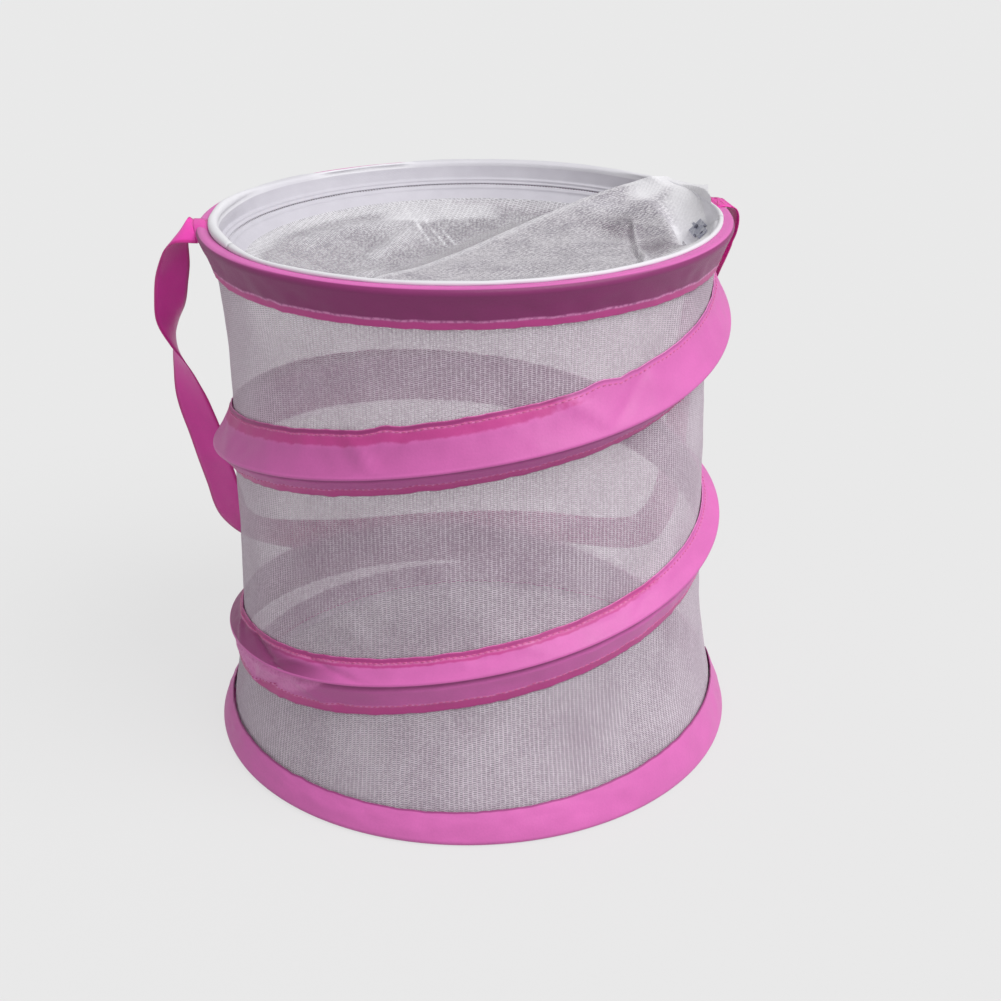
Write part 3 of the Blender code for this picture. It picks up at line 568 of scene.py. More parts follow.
@dataclass(frozen=True)
class KnitNet:
    """Warp-knitted net: upright wales joined by thin slanting laps, with holes between."""

    name: str
    slot: str
    colour: Colour
    dark_colour: Colour
    crest_colour: Colour = (0.86, 0.85, 0.88)
    wale: float = 0.0025
    course: float = 0.00110
    wale_width: float = 0.24
    lap_width: float = 0.40
    haze: float = 0.20
    thread: float = 0.86
    turned: float = 0.0
    blotch: float = 30.0
    grain: float = 0.25
    hole_shade_colour: Colour = (0.20, 0.15, 0.18)
    blush_colour: Colour = (0.95, 0.56, 0.86)
    roughness: float = 0.8

    def build(self) -> bpy.types.Material:
        """Make the material."""
        board = Board(self.name)
        level, upright = board.cloth_axes()
        cos, sin = math.cos(self.turned), math.sin(self.turned)
        along = board.scaled(upright, -sin, board.times(level, cos))
        across = board.scaled(upright, cos, board.times(level, sin))
        sway = board.times(board.minus(board.noise(120.0, 2.0), 0.5), 0.35)
        column = board.plus(board.times(along, 1 / self.wale), sway)
        row = board.plus(board.times(across, 1 / self.course), sway)
        slant = board.times(board.maths("PINGPONG", column, 1.0), 0.7)
        ribbed = board.mark("ribbed")
        stitch = board.maths("SINE", board.times(row, 2 * math.pi))
        beside = board.maths("ABSOLUTE", board.minus(board.maths("FRACT", column), 0.5))
        beside = board.scaled(stitch, 0.05, beside)
        wale = board.ease(beside, self.wale_width / 2 + 0.07, self.wale_width / 2 - 0.07)
        lap_place = board.maths("FRACT", board.plus(row, slant))
        off_lap = board.maths("ABSOLUTE", board.minus(lap_place, 0.5))
        lap = board.ease(off_lap, self.lap_width / 2 + 0.08, self.lap_width / 2 - 0.08)
        faint = board.scaled(board.noise(16.0, 2.0), 0.7, 0.35)
        faint = board.scaled(ribbed, 0.5, faint, clamp=True)
        thread = board.maths("MAXIMUM", board.times(wale, faint), lap)
        blush = board.mark("blush")
        haze = board.scaled(ribbed, 0.30, board.scaled(blush, 0.26, self.haze))
        solid = board.scaled(thread, board.minus(self.thread, haze), haze, clamp=True)
        holes = board.times(board.minus(1.0, thread), board.mark("open"))
        solid = board.minus(solid, board.times(holes, 0.55), clamp=True)
        crest = board.mark("crest")
        board.give("Alpha", board.scaled(crest, 0.5, solid, clamp=True))
        shade = board.scaled(board.noise(self.blotch, 3.0), 1.6, -0.35)
        specks = board.minus(board.ease(board.noise(620.0, 1.0), 0.38, 0.62), 0.5)
        shade = board.scaled(specks, 2 * self.grain, shade, clamp=True)
        tone = board.mix(shade, self.colour, self.dark_colour)
        # painted shade: open holes take a dark colour for the shaded inside seen through them
        tone = board.mix(board.times(holes, 0.75, clamp=True), tone, self.hole_shade_colour)
        # painted light: a pink glow where a lit sleeve lies behind the net
        tone = board.mix(board.times(blush, 0.5), tone, self.blush_colour)
        # pale where the net lies doubled and close, and painted highlight on its folds
        tone = board.mix(board.times(crest, 1.1, clamp=True), tone, self.crest_colour)
        # painted shade in the grooves between the wales where the net is drawn close
        groove_shade = board.times(board.minus(1.0, wale), ribbed)
        lit = board.mix(board.times(groove_shade, 0.55), tone, self.dark_colour)
        board.give("Base Color", lit)
        board.give("Roughness", self.roughness)
        board.give("Sheen Weight", 0.2)
        board.bump(board.plus(wale, board.times(lap, 0.5)), 0.35, 0.0004)
        return board.material


@dataclass(frozen=True)
class WovenTape:
    """Narrow woven tape with a fine rib across it."""

    name: str
    slot: str
    colour: Colour
    dark_colour: Colour
    white_hem_and_painted_light_colour: Colour = (0.84, 0.83, 0.87)
    rib: float = 0.0009
    roughness: float = 0.62
    sheen: float = 0.2

    def build(self) -> bpy.types.Material:
        """Make the material."""
        board = Board(self.name)
        along, across = board.cloth_axes()
        ribs = board.maths("SINE", board.times(along, 2 * math.pi / self.rib))
        herring = board.maths("SINE", board.times(across, 2 * math.pi / (self.rib * 1.4)))
        threads = board.times(ribs, herring)
        patches = board.noise(70.0, 3.0)
        shade = board.scaled(threads, 0.12, board.times(patches, 0.55),
                            clamp=True)
        woven = board.mix(shade, self.colour, self.dark_colour)
        # the white hem, whose colour also paints light on the tape round the zipper's right end
        board.give("Base Color", board.mix(board.mark("hem"), woven, self.white_hem_and_painted_light_colour))
        rough = board.scaled(patches, 0.2, self.roughness - 0.1)
        board.give("Roughness", rough)
        board.give("Sheen Weight", self.sheen)
        board.bump(board.scaled(threads, 0.5, patches), 0.3, 0.0003)
        return board.material


@dataclass(frozen=True)
class Moulded:
    """Moulded plastic or spun thread: one colour, faintly uneven."""

    name: str
    slot: str
    colour: Colour
    dark_colour: Colour
    roughness: float = 0.45

    def build(self) -> bpy.types.Material:
        """Make the material."""
        board = Board(self.name)
        patches = board.noise(400.0, 2.0)
        board.give("Base Color", board.mix(patches, self.colour, self.dark_colour))
        board.give("Roughness", board.scaled(patches, 0.2, self.roughness - 0.1))
        board.bump(board.noise(1500.0, 2.0), 0.15, 0.0002)
        return board.material


@dataclass(frozen=True)
class Metal:
    """Cast or drawn metal with fine rubbed scratches."""

    name: str
    slot: str
    colour: Colour
    worn_colour: Colour
    roughness: float = 0.28

    def build(self) -> bpy.types.Material:
        """Make the material."""
        board = Board(self.name)
        rub = board.noise(300.0, 4.0, roughness=0.65)
        board.give("Base Color", board.mix(board.ease(rub, 0.45, 0.7), self.colour, self.worn_colour))
        board.give("Roughness", board.scaled(rub, 0.35, self.roughness - 0.12))
        board.give("Metallic", 1.0)
        board.bump(board.noise(1800.0, 3.0), 0.12, 0.0001)
        return board.material


PINK_TAFFETA = Taffeta("pink taffeta", "pink_taffeta", (0.74, 0.155, 0.50), (0.62, 0.062, 0.31))
PINK_RIBBON = Taffeta("pink satin ribbon", "pink_ribbon", (0.88, 0.055, 0.47), (0.78, 0.036, 0.36),
                      weave=0.0005, roughness=0.38)
# One white net is finished three ways: the wall's, the lid's and the folded flap's colours also paint the
# light and shade that each place gets.
WALL_NET = KnitNet("wall net", "white_net", (0.88, 0.77, 0.87), (0.62, 0.50, 0.60),
                   haze=0.26, thread=0.90, grain=0.34)
LID_NET = KnitNet("lid net", "white_net", (0.60, 0.58, 0.62), (0.24, 0.22, 0.26),
                  wale=0.0026, course=0.0017, haze=0.30, turned=0.33, blotch=40.0, grain=0.42)
FOLDED_NET = KnitNet("folded lid net", "white_net", (0.76, 0.73, 0.77), (0.36, 0.33, 0.38), wale=0.0024,
                     course=0.0019, haze=0.62, thread=0.97, turned=0.9, blotch=45.0, grain=0.45)
# painted shade: the floor's white net is coloured dark grey for the shade that lies on it inside the cage
FLOOR_NET = KnitNet("floor net", "floor_net", (0.31, 0.26, 0.33), (0.09, 0.07, 0.11), haze=0.8, blotch=45.0)
WHITE_TAPE = WovenTape("white woven tape", "white_tape", (0.66, 0.64, 0.70), (0.46, 0.44, 0.50))
NYLON = Moulded("white nylon", "white_nylon", (0.80, 0.78, 0.83), (0.60, 0.58, 0.63))
PINK_THREAD = Moulded("pink thread", "pink_taffeta", (0.80, 0.20, 0.44), (0.66, 0.12, 0.34), 0.6)
SPRING_STEEL = Metal("spring steel", "spring_steel", (0.50, 0.50, 0.52), (0.34, 0.34, 0.36))
CRIMP_METAL = Metal("crimp metal", "crimp_metal", (0.62, 0.60, 0.57), (0.44, 0.42, 0.40))
SLIDER_METAL = Metal("slider metal", "slider_metal", (0.42, 0.43, 0.52), (0.66, 0.67, 0.72), 0.3)
TIP_PLASTIC = Moulded("tip plastic", "tip_plastic", (0.76, 0.76, 0.74), (0.64, 0.64, 0.62))

_built: dict[str, bpy.types.Material] = {}


def material_of(finish: object) -> bpy.types.Material:
    """The finish's material, made on first use."""
    if finish.name not in _built:
        _built[finish.name] = finish.build()
    return _built[finish.name]


def finish_with(piece: bpy.types.Object, finish: object) -> bpy.types.Object:
    """Give a piece a finish.

    Args:
        piece: The piece.
        finish: One of the finishes above.

    Returns:
        The piece.
    """
    piece.data.materials.clear()
    piece.data.materials.append(material_of(finish))
    return piece


# Riding on the base


def fold_with_base(piece: bpy.types.Object) -> bpy.types.Object:
    """Ride on the base, with a mesh of its own."""
    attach(piece, "base")
    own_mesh(piece)
    return piece


# Rows of small pieces

class NodeGroup:
    """A Geometry Nodes tree, made from tables of its inputs, nodes and links."""

    def __init__(self, name: str, inputs: dict[str, str], nodes: dict[str, tuple[str, dict[str, object]]],
                 links: Sequence[tuple[str, str | int, str, str | int]]) -> None:
        """Build the tree.

        Args:
            name: The tree's name.
            inputs: The kind of each input, by its name.
            nodes: The kind of each node and what is set on it, by its name.
            links: For each link a node and its output, then a node and its input.
        """
        self.tree = bpy.data.node_groups.new(name, "GeometryNodeTree")
        self.sockets: dict[str, str] = {}
        for label, kind in inputs.items():
            item = self.tree.interface.new_socket(label, in_out="INPUT", socket_type="NodeSocket" + kind)
            self.sockets[label] = item.identifier
        self.tree.interface.new_socket("Result", in_out="OUTPUT", socket_type="NodeSocketGeometry")
        made = {"given": self.tree.nodes.new("NodeGroupInput"),
                "result": self.tree.nodes.new("NodeGroupOutput")}
        for label, (kind, settings) in nodes.items():
            made[label] = self.tree.nodes.new(kind)
            for key, value in settings.items():
                if key in made[label].inputs:
                    made[label].inputs[key].default_value = value
                else:
                    setattr(made[label], key, value)
        for source, leaves, target, enters in links:
            self.tree.links.new(made[source].outputs[leaves], made[target].inputs[enters])

    def run_on(self, piece: bpy.types.Object, values: dict[str, object]) -> None:
        """Run the tree on a piece and keep the result as plain mesh.

        Args:
            piece: The piece, whose mesh is the tree's first input.
            values: What the other inputs are set to.
        """
        change = piece.modifiers.new("nodes", "NODES")
        change.node_group = self.tree
        for label, value in values.items():
            change[self.sockets[label]] = value
        settle(piece)


class SmallRow:
    """Geometry Nodes that set one small rounded piece at even steps along a line."""

    inputs = {"Line": "Geometry", "Step": "Float", "Length": "Float", "Width": "Float", "Depth": "Float",
              "Tilt": "Float", "Sides": "Int", "Finish": "Material"}
    nodes = {
        "curve": ("GeometryNodeMeshToCurve", {}),
        "even": ("GeometryNodeResampleCurve", {"mode": "LENGTH"}),
        "outwards": ("GeometryNodeInputNamedAttribute", {"data_type": "FLOAT_VECTOR", "Name": "outwards"}),
        "tangent": ("GeometryNodeInputTangent", {}),
        "turn": ("FunctionNodeAxesToRotation", {"primary_axis": "Z", "secondary_axis": "X"}),
        "angles": ("ShaderNodeCombineXYZ", {}),
        "lean": ("FunctionNodeEulerToRotation", {}),
        "tilt": ("FunctionNodeRotateRotation", {"rotation_space": "LOCAL"}),
        "ball": ("GeometryNodeMeshUVSphere", {"Rings": 4, "Radius": 0.5}),
        "size": ("ShaderNodeCombineXYZ", {}),
        "shaped": ("GeometryNodeTransform", {}),
        "copies": ("GeometryNodeInstanceOnPoints", {}),
        "real": ("GeometryNodeRealizeInstances", {}),
        "smooth": ("GeometryNodeSetShadeSmooth", {}),
        "dressed": ("GeometryNodeSetMaterial", {})}
    links = (
        ("given", "Line", "curve", 0), ("curve", 0, "even", "Curve"), ("given", "Step", "even", "Length"),
        ("outwards", "Attribute", "turn", "Primary Axis"), ("tangent", 0, "turn", "Secondary Axis"),
        ("given", "Tilt", "angles", "Z"), ("angles", 0, "lean", 0), ("turn", 0, "tilt", 0),
        ("lean", 0, "tilt", 1), ("given", "Sides", "ball", "Segments"), ("given", "Length", "size", "X"),
        ("given", "Width", "size", "Y"), ("given", "Depth", "size", "Z"),
        ("ball", "Mesh", "shaped", "Geometry"), ("size", 0, "shaped", "Scale"),
        ("even", 0, "copies", "Points"), ("shaped", 0, "copies", "Instance"),
        ("tilt", 0, "copies", "Rotation"), ("copies", 0, "real", 0), ("real", 0, "smooth", 0),
        ("smooth", 0, "dressed", "Geometry"), ("given", "Finish", "dressed", "Material"),
        ("dressed", 0, "result", 0))

    def __init__(self) -> None:
        """Build the tree once; every row shares it."""
        self.group = NodeGroup("row of small pieces", self.inputs, self.nodes, self.links)

    def along(self, name: str, lines: Sequence[tuple[Array, Array]], step: float,
              size: Triple, finish: object, tilt: float = 0.0,
              sides: int = 6) -> bpy.types.Object:
        """Make one row, or several as one piece.

        Args:
            name: The piece's name.
            lines: For each row its points, and the way that points out of the cloth at each.
            step: The distance from one small piece to the next.
            size: Their length, width and depth.
            finish: Their finish.
            tilt: How far each is turned in the cloth, in radians.
            sides: How many sides each has.

        Returns:
            The finished object, as plain mesh.
        """
        points: list[list[float]] = []
        edges: list[tuple[int, int]] = []
        ways: list[float] = []
        for line, outwards in lines:
            start = len(points)
            points += np.asarray(line).tolist()
            ways += np.asarray(outwards, np.float32).ravel().tolist()
            edges += [(start + index, start + index + 1) for index in range(len(line) - 1)]
        mesh = bpy.data.meshes.new(name)
        mesh.from_pydata(points, edges, [])
        mesh.attributes.new("outwards", "FLOAT_VECTOR", "POINT").data.foreach_set("vector", ways)
        piece = new_object(name, mesh)
        self.group.run_on(piece, {"Step": step, "Length": size[0], "Width": size[1], "Depth": size[2],
                                  "Tilt": tilt, "Sides": sides, "Finish": material_of(finish)})
        leftover = piece.data.attributes.get("outwards")
        if leftover is not None:
            piece.data.attributes.remove(leftover)
        return finish_with(piece, finish)


# The net wall and floor

@dataclass
class NetWall:
    """The tube of net, the tape over its seam, and the floor."""

    columns: int = 360
    rows: int = 96
    span: Pair = (0.0028, 0.3035)
    mean_radius: float = 0.1385
    wrinkle: float = 0.0009
    seam_angle: float = 348.75
    seam_width: float = 0.008
    seam_span: Pair = (0.019, 0.288)
    seam_inset: float = 0.0012
    floor_radius: float = 0.1485
    floor_sag: float = 0.0012

    def wall_section(self, angle: float) -> Array:
        """The wall's section: its radius over its height, with the slack that the wires leave."""
        heights = np.linspace(*self.span, self.rows)
        radii = np.array(FORM.wall_radius(heights))
        radii = np.convolve(np.pad(radii, 4, mode="edge"), np.ones(9) / 9, mode="valid")
        turn = math.radians(angle)
        for index, height in enumerate(heights):
            x, y = math.cos(turn), math.sin(turn)
            folds = drift(x * 7, y * 7, height * 34, 1.0)
            creases = drift(x * 19 + height * 30, y * 19 - height * 26, height * 60, 2.0)
            free = math.sin(math.pi * index / (self.rows - 1)) ** 0.5
            radii[index] += -abs(folds) * self.wrinkle * free + creases * 0.35 * self.wrinkle * free
        return np.stack([radii, heights], axis=1)

    def build_wall(self) -> None:
        """Make the wall's net."""
        angles = [index * 360 / self.columns for index in range(self.columns)]
        wall = revolve("wall_net_cloth", angles, self.wall_section, closed=True, marks_at=self.wall_marks)
        finish_with(wall, WALL_NET)
        fold_with_base(wall)
        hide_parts("wall_net")
        LOG.info("wall net: %d faces", len(wall.data.polygons))

    def wall_marks(self, angle: float) -> dict[str, Array]:
        """The values of the net's marks along the section at an angle."""
        return {"ribbed": np.full(self.rows, self.ribbed(angle)), "blush": self.blush(angle)}

    def ribbed(self, angle: float) -> float:
        """How close the net is drawn at an angle: its wales crowd at the left and right."""
        turn = math.radians(angle)
        return float(smoothstep(0.62, 0.97, abs(math.cos(turn))) * smoothstep(0.45, 0.10, math.sin(turn)))

    def blush(self, angle: float) -> Array:
        """How strongly a pink glow is painted on the net where a lit sleeve lies behind it, along the section
        at an angle.
        """
        heights = np.array(self.wall_section(angle))[:, 1]
        found = fade(0.030, 0.042, heights)
        for turn in range(3):
            if FORM.sleeve_start < angle + 360 * turn < FORM.sleeve_end:
                middle = FORM.spiral_centre(angle + 360 * turn)[1]
                found = np.maximum(found, fade(0.013, 0.019, np.abs(heights - middle)))
        return found * smoothstep(-0.1, 0.3, math.sin(math.radians(angle)))

    def build_seam(self) -> None:
        """Make the tape over the wall's upright seam, inside."""
        heights = np.linspace(*self.seam_span, 80)
        radii = np.array(FORM.wall_radius(heights)) - self.seam_inset
        across = np.linspace(-self.seam_width / 2, self.seam_width / 2, 7)
        outwards, sideways = directions(self.seam_angle)
        points = np.zeros((len(heights), len(across), 3))
        uv = np.zeros((len(heights), len(across), 2))
        for row, (radius, height) in enumerate(zip(radii, heights)):
            for column, side in enumerate(across):
                lift = 0.0003 * drift(height * 90, side * 300, 0.0, 3.0)
                points[row, column] = outwards * (radius + lift) + sideways * side
                points[row, column, 2] = height
                uv[row, column] = (height, side)
        tape = cloth_grid("wall_seam_cloth", points, uv)
        thicken(tape, 0.0005, 0.0)
        finish_with(tape, WHITE_TAPE)
        fold_with_base(tape)
        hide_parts("wall_seam_tape")

    def build_floor(self) -> None:
        """Make the floor's net, a little slack."""
        rings, spokes = 30, 144
        points = np.zeros((spokes, rings, 3))
        for spoke in range(spokes):
            turn = 2 * math.pi * spoke / spokes
            for ring in range(rings):
                radius = self.floor_radius * (0.004 + 0.996 * ring / (rings - 1))
                x, y = radius * math.cos(turn), radius * math.sin(turn)
                free = 1 - (ring / (rings - 1)) ** 6
                lift = 0.0007 + self.floor_sag * free * (0.5 + 0.9 * abs(drift(x * 14, y * 14, 0.0, 4.0)))
                points[spoke, ring] = (x, y, lift)
        uv = np.concatenate([points, points[:1]])[..., :2].copy()
        floor = cloth_grid("floor_cloth", points, uv, closed=True)
        finish_with(floor, FLOOR_NET)
        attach(floor, "base")
        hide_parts("floor_panel")


# Sleeves

@dataclass(frozen=True)
class Ring:
    """What tells one ring's sleeve from the other's.

    The way is 1 where the sleeve rises from its wire to its seam, and -1 where it falls.
    """

    name: str
    body: str
    way: int
    centre: Pair
    lap: Pair
    seam_at: Callable[[float], float]
    sag: float
    seed: float
    seam_steps: Pair


BOTTOM_RING = Ring("bottom", "base", 1, (FORM.bottom_wire_radius, FORM.bottom_wire_height),
                   (0.1468, 0.00025), FORM.bottom_seam, -0.0006, 21.0, (3.45, 3.7))
TOP_RING = Ring("top", "top", -1, (FORM.top_wire_radius, FORM.top_wire_height),
                (0.1405, FORM.lid_crest), FORM.top_seam, 0.0004, 31.0, (93.5, 93.9))


@dataclass
class Sleeves:
    """The sleeves of both rings and of the spiral, with their stitching."""

    rows: SmallRow
    step: float = 1.5
    stitch_step: float = 0.0034
    stitch: Triple = (0.0026, 0.0007, 0.0006)
    stitch_tilt: float = 0.12
    stitch_lift: float = 0.0001
    cloth: float = 0.0005
    tip_channel: float = 0.00225
    tip_reach: Pair = (11.5, 806.0)
    seed: float = 11.0
    ragged_edge: tuple[Triple, ...] = (
        (606.0, 3.0, -0.0008), (612.0, 2.0, 0.0008), (658.0, 3.2, 0.0016), (664.0, 1.6, -0.0008))
    gathers: tuple[tuple[float, float, float, float, float], ...] = (
        (214.0, 20.0, 2.0, -0.0022, 1), (226.0, -16.0, 1.8, 0.0020, 1), (237.0, 18.0, 1.7, -0.0016, 1),
        (199.0, 12.0, 1.9, 0.0016, 1), (221.0, 16.0, 1.9, -0.0022, -1), (206.0, -14.0, 1.7, 0.0020, -1),
        (233.0, -12.0, 1.5, 0.0016, -1), (192.0, 10.0, 1.5, -0.0012, -1), (213.0, 10.0, 1.2, 0.0018, -1),
        (607.0, 9.0, 1.5, 0.0015, 1),
        (613.5, -10.0, 1.4, -0.0013, 1), (655.0, 10.0, 1.7, 0.0015, 1), (665.0, -12.0, 1.5, -0.0013, 1),
        (673.0, 8.0, 1.4, 0.0008, 1), (598.0, 6.0, 1.3, -0.0007, 1), (640.0, 8.0, 1.4, 0.0006, 1),
        (560.0, 12.0, 2.4, 0.0008, 1), (575.0, -10.0, 2.2, -0.0008, 1), (700.0, 12.0, 2.4, 0.0007, 1),
        (283.0, 8.0, 2.0, 0.0005, 1), (310.0, -8.0, 2.2, -0.0005, 1), (335.0, 9.0, 2.0, 0.0006, 1))
    near_steps: tuple[float, ...] = (
        0.0, 0.0006, 0.0013, 0.0021, 0.0027, 0.0031, 0.0036, 0.0046, 0.0058, 0.0063, 0.0068, 0.0078)
    lines: dict[str, list[tuple[Array, Array]]] = field(default_factory=dict)

    def steps(self, length: float, count: int) -> Array:
        """Where the points of a face lie, from its seam to its wire: close together at both ends.

        Args:
            length: The face's length in the section.
            count: How many points lie beyond the seam's band.

        Returns:
            Their distances from the seam, without the last one.
        """
        near = np.array(self.near_steps) * min(1.0, length / 0.0155)
        shares = np.arange(1, count + 1) / (count + 1)
        return np.concatenate([near, near[-1] + (length - near[-1]) * (1 - (1 - shares) ** 1.35)])

    def face(self, start: Pair, stop: Pair, count: int, sag: float, angle: float, seed: float,
             undercut: float = 0.0, facing: int = 0) -> list[Pair]:
        """A stretch of cloth in the section, between a seam and the wire.

        Args:
            start: Its first point.
            stop: Its last point.
            count: How many points it has beyond the seam's band.
            sag: How far it hangs in at its middle.
            angle: The section's angle, which its puckers follow.
            seed: Tells one face's puckers from another's.
            undercut: How far it draws in right behind the wire, at its last point's end.
            facing: 1 for the spiral's upper face, -1 for its lower one, 0 for a ring's.

        Returns:
            The points, without the last one.
        """
        run = np.array(stop) - np.array(start)
        length = float(np.linalg.norm(run))
        square = np.array((-run[1], run[0])) / max(length, 1e-9)
        if square[0] > 0:
            square = -square
        x, y, _ = place(angle, 1.0, 0.0)
        found = []
        for away in self.steps(length, count):
            share = float(away) / length
            free = 4 * share * (1 - share)
            pucker = drift(x * 16 + angle * 0.02, y * 16, share * 2 + angle * 0.01, seed)
            fine = drift(x * 48, y * 48, share * 5 + angle * 0.02, seed + 5)
            depth = sag * free + 0.0008 * free * pucker + 0.00035 * fine * (1 - share)
            depth += undercut * (0.85 + 0.4 * pucker) * hump(share, 0.915, 0.06)
            for middle, lean, width, rise, side in self.gathers:
                if side == facing and abs(angle - middle) < 40:
                    gathered = hump(angle, middle + lean * (share - 0.5), width)
                    depth -= rise * (0.25 + 0.75 * free) * gathered
            spot = np.array(start) + run * share + square * depth
            found.append((float(spot[0]), float(spot[1])))
        return found

    def spiral_section(self, angle: float) -> tuple[list[Pair], dict[str, Array]]:
        """The spiral sleeve's section at an unwound angle, and its colour marks, which carry painted shade
        and painted light.
        """
        centre = FORM.spiral_centre(angle)
        near_end = angle < self.tip_reach[0] or angle > self.tip_reach[1]
        channel = self.tip_channel if near_end else FORM.spiral_channel
        upper, lower = self.spiral_edges(angle)
        upper += 0.0006 * drift(angle * 0.21, self.seed, 3.0) + 0.0004 * drift(angle * 0.9, self.seed, 9.0)
        lower -= 0.0007 * drift(angle * 0.33, self.seed, 6.0) + 0.0005 * drift(angle * 1.1, self.seed, 4.0)
        top, low = FORM.seam_point(upper), FORM.seam_point(lower)
        arc = round_wire(centre, channel, touch(centre, channel, top, 1), touch(centre, channel, low, -1))
        high_face = self.face(top, arc[0], 7, 0.0008, angle, self.seed, facing=1)
        low_face = self.face(low, arc[-1], 9, 0.0004, angle, self.seed + 2, undercut=0.0030, facing=-1)
        return high_face + arc + low_face[::-1], self.spiral_marks(angle, high_face, low_face, top, low)

    def spiral_marks(self, angle: float, high_face: list[Pair], low_face: list[Pair], top: Pair,
                     low: Pair) -> dict[str, Array]:
        """The colour marks of a section of the spiral's sleeve: doubled seams, pale edges and stitch lines,
        painted shade and painted light.

        Args:
            angle: The unwound angle.
            high_face: The points of the upper face, from the seam.
            low_face: The points of the lower face, from the seam.
            top: The upper seam's point.
            low: The lower seam's point.

        Returns:
            The values of the marks, one for each point of the section.
        """
        ragged = 0.0005 * drift(angle * 0.5, 3.0, 8.0)
        above = np.array([math.dist(top, point) for point in high_face])
        below = np.array([math.dist(low, point) for point in low_face])
        high, deep_length = above / above[-1], below[-1]
        high_turn = smoothstep(380.0, 520.0, angle)
        twist = smoothstep(243.0, 226.0, angle) * smoothstep(150.0, 172.0, angle)
        near_seam = smoothstep(230.0, 214.0, angle)
        band = 0.0050 + 0.0030 * high_turn
        at_right = between(angle, (290.0, 330.0), (395.0, 430.0))
        at_right = max(at_right, smoothstep(628.0, 662.0, angle))
        seam_high = fade(band - 0.0024, band + 0.0022, above + ragged) * (1 - 0.80 * at_right)
        seam_low = fade(0.0056, 0.0066, below + ragged)
        # painted shade along the upper seam's edge, where the cloth meets the net
        seam_edge_shade = (0.45 + 0.25 * high_turn) * smoothstep(0.0002, 0.0008, above)
        seam_edge_shade = seam_edge_shade * fade(0.0019 - 0.0010 * at_right, 0.0028 - 0.0012 * at_right, above)
        # painted shade on the upper face where the sleeve twists at the left
        twist_shade = twist * (near_seam + (1 - near_seam) * smoothstep(0.35, 0.6, high)) * 0.85
        painted_shade_high = np.maximum(seam_edge_shade, twist_shade * smoothstep(0.0028, 0.0036, above))
        # painted shade on the upper face of the higher turns, except at the right
        high_turn_shade = 0.15 * high_turn * (1 - at_right) * smoothstep(band, band + 0.003, above)
        painted_shade_high = np.maximum(painted_shade_high, high_turn_shade)
        # painted light on a wedge of the lower face beside the wire, at the left
        wedge = float(np.clip((238.0 - angle) / 19.0, 0.0, 1.0)) if angle > 150 else 0.0
        from_ridge = 1 - below / deep_length
        lit = fade(wedge - 0.08, wedge + 0.04, from_ridge) if wedge > 0 else 0 * below
        # painted shade in the groove right under the wire
        crease_shade = fade(0.0018, 0.0042, deep_length - below + 0.0008)
        # painted shade on the down-turned lower faces, most on the higher turns
        faces = 0.02 + 0.30 * high_turn + 0.30 * hump(angle, 240.0, 14.0)
        painted_shade_low = np.maximum(crease_shade, faces * smoothstep(0.0060, 0.0074, below)) * (1 - lit)
        # painted shade along the lower seam's edge
        painted_shade_low = np.maximum(painted_shade_low, 0.35 * fade(0.0004, 0.0012, below))
        trim_high = (0.75 * fade(0.0001, 0.0006, above)
                     + 0.70 * (1 - 0.6 * at_right) * hump(above, 0.0031, 0.00035))
        trim_and_painted_light_low = 0.85 * hump(below, 0.0064, 0.00045) + 0.45 * fade(0.0, 0.0004, below)
        trim_and_painted_light_low = np.maximum(trim_and_painted_light_low, 0.50 * lit * smoothstep(0.0070, 0.0090, below))
        middle = np.zeros(ARC_POINTS)
        # painted shade on the underside of the wire
        ridge_underside_shade = middle.copy()
        ridge_underside_shade[-2:] = np.array((0.3, 0.95)) * (1 - min(wedge, 1))
        return {"seam": np.concatenate([seam_high, middle, seam_low[::-1]]),
                "deep": np.concatenate([painted_shade_high, ridge_underside_shade, painted_shade_low[::-1]]),
                "trim": np.concatenate([trim_high, middle, trim_and_painted_light_low[::-1]])}

    def spiral_edges(self, angle: float) -> Pair:
        """The heights of the spiral sleeve's seams at an unwound angle."""
        centre = FORM.spiral_centre(angle)
        turn = smoothstep(340.0, 520.0, angle)
        share, width = 0.35 + 0.27 * turn, 0.034 + 0.0025 * turn
        upper, lower = centre[1] + width * share, centre[1] - width * (1 - share)
        for middle, spread, rise in self.ragged_edge:
            upper += rise * hump(angle, middle, spread)
        if angle > 720:
            under_ring = FORM.top_seam(angle) - 0.0005
            if centre[1] + FORM.seam_clearance > FORM.top_seam_height:
                under_ring = max(centre[1] + 0.003, under_ring)
            upper = min(upper, under_ring)
        if angle < 180:
            lower = max(lower, FORM.bottom_seam(max(angle, FORM.sleeve_start)) + 0.0005)
        return upper, lower

    def build_spiral(self) -> None:
        """Make the spiral's sleeve and its stitching."""
        angles = [*np.arange(FORM.sleeve_start, FORM.sleeve_end, self.step), FORM.sleeve_end]
        found = {angle: self.spiral_section(angle) for angle in angles}
        sleeve = revolve("spiral_sleeve_cloth", angles, lambda angle: np.array(found[angle][0]),
                         marks_at=lambda angle: found[angle][1], flip=True)
        thicken(sleeve, self.cloth)
        finish_with(sleeve, PINK_TAFFETA)
        fold_with_base(sleeve)
        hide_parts("spiral_sleeve")
        for outer, inner in ((4, 5), (-10, -11)):
            sections = [(angle, found[angle][0]) for angle in angles[3:-3]]
            self.add_line("spiral_stitches", sections, outer, inner)

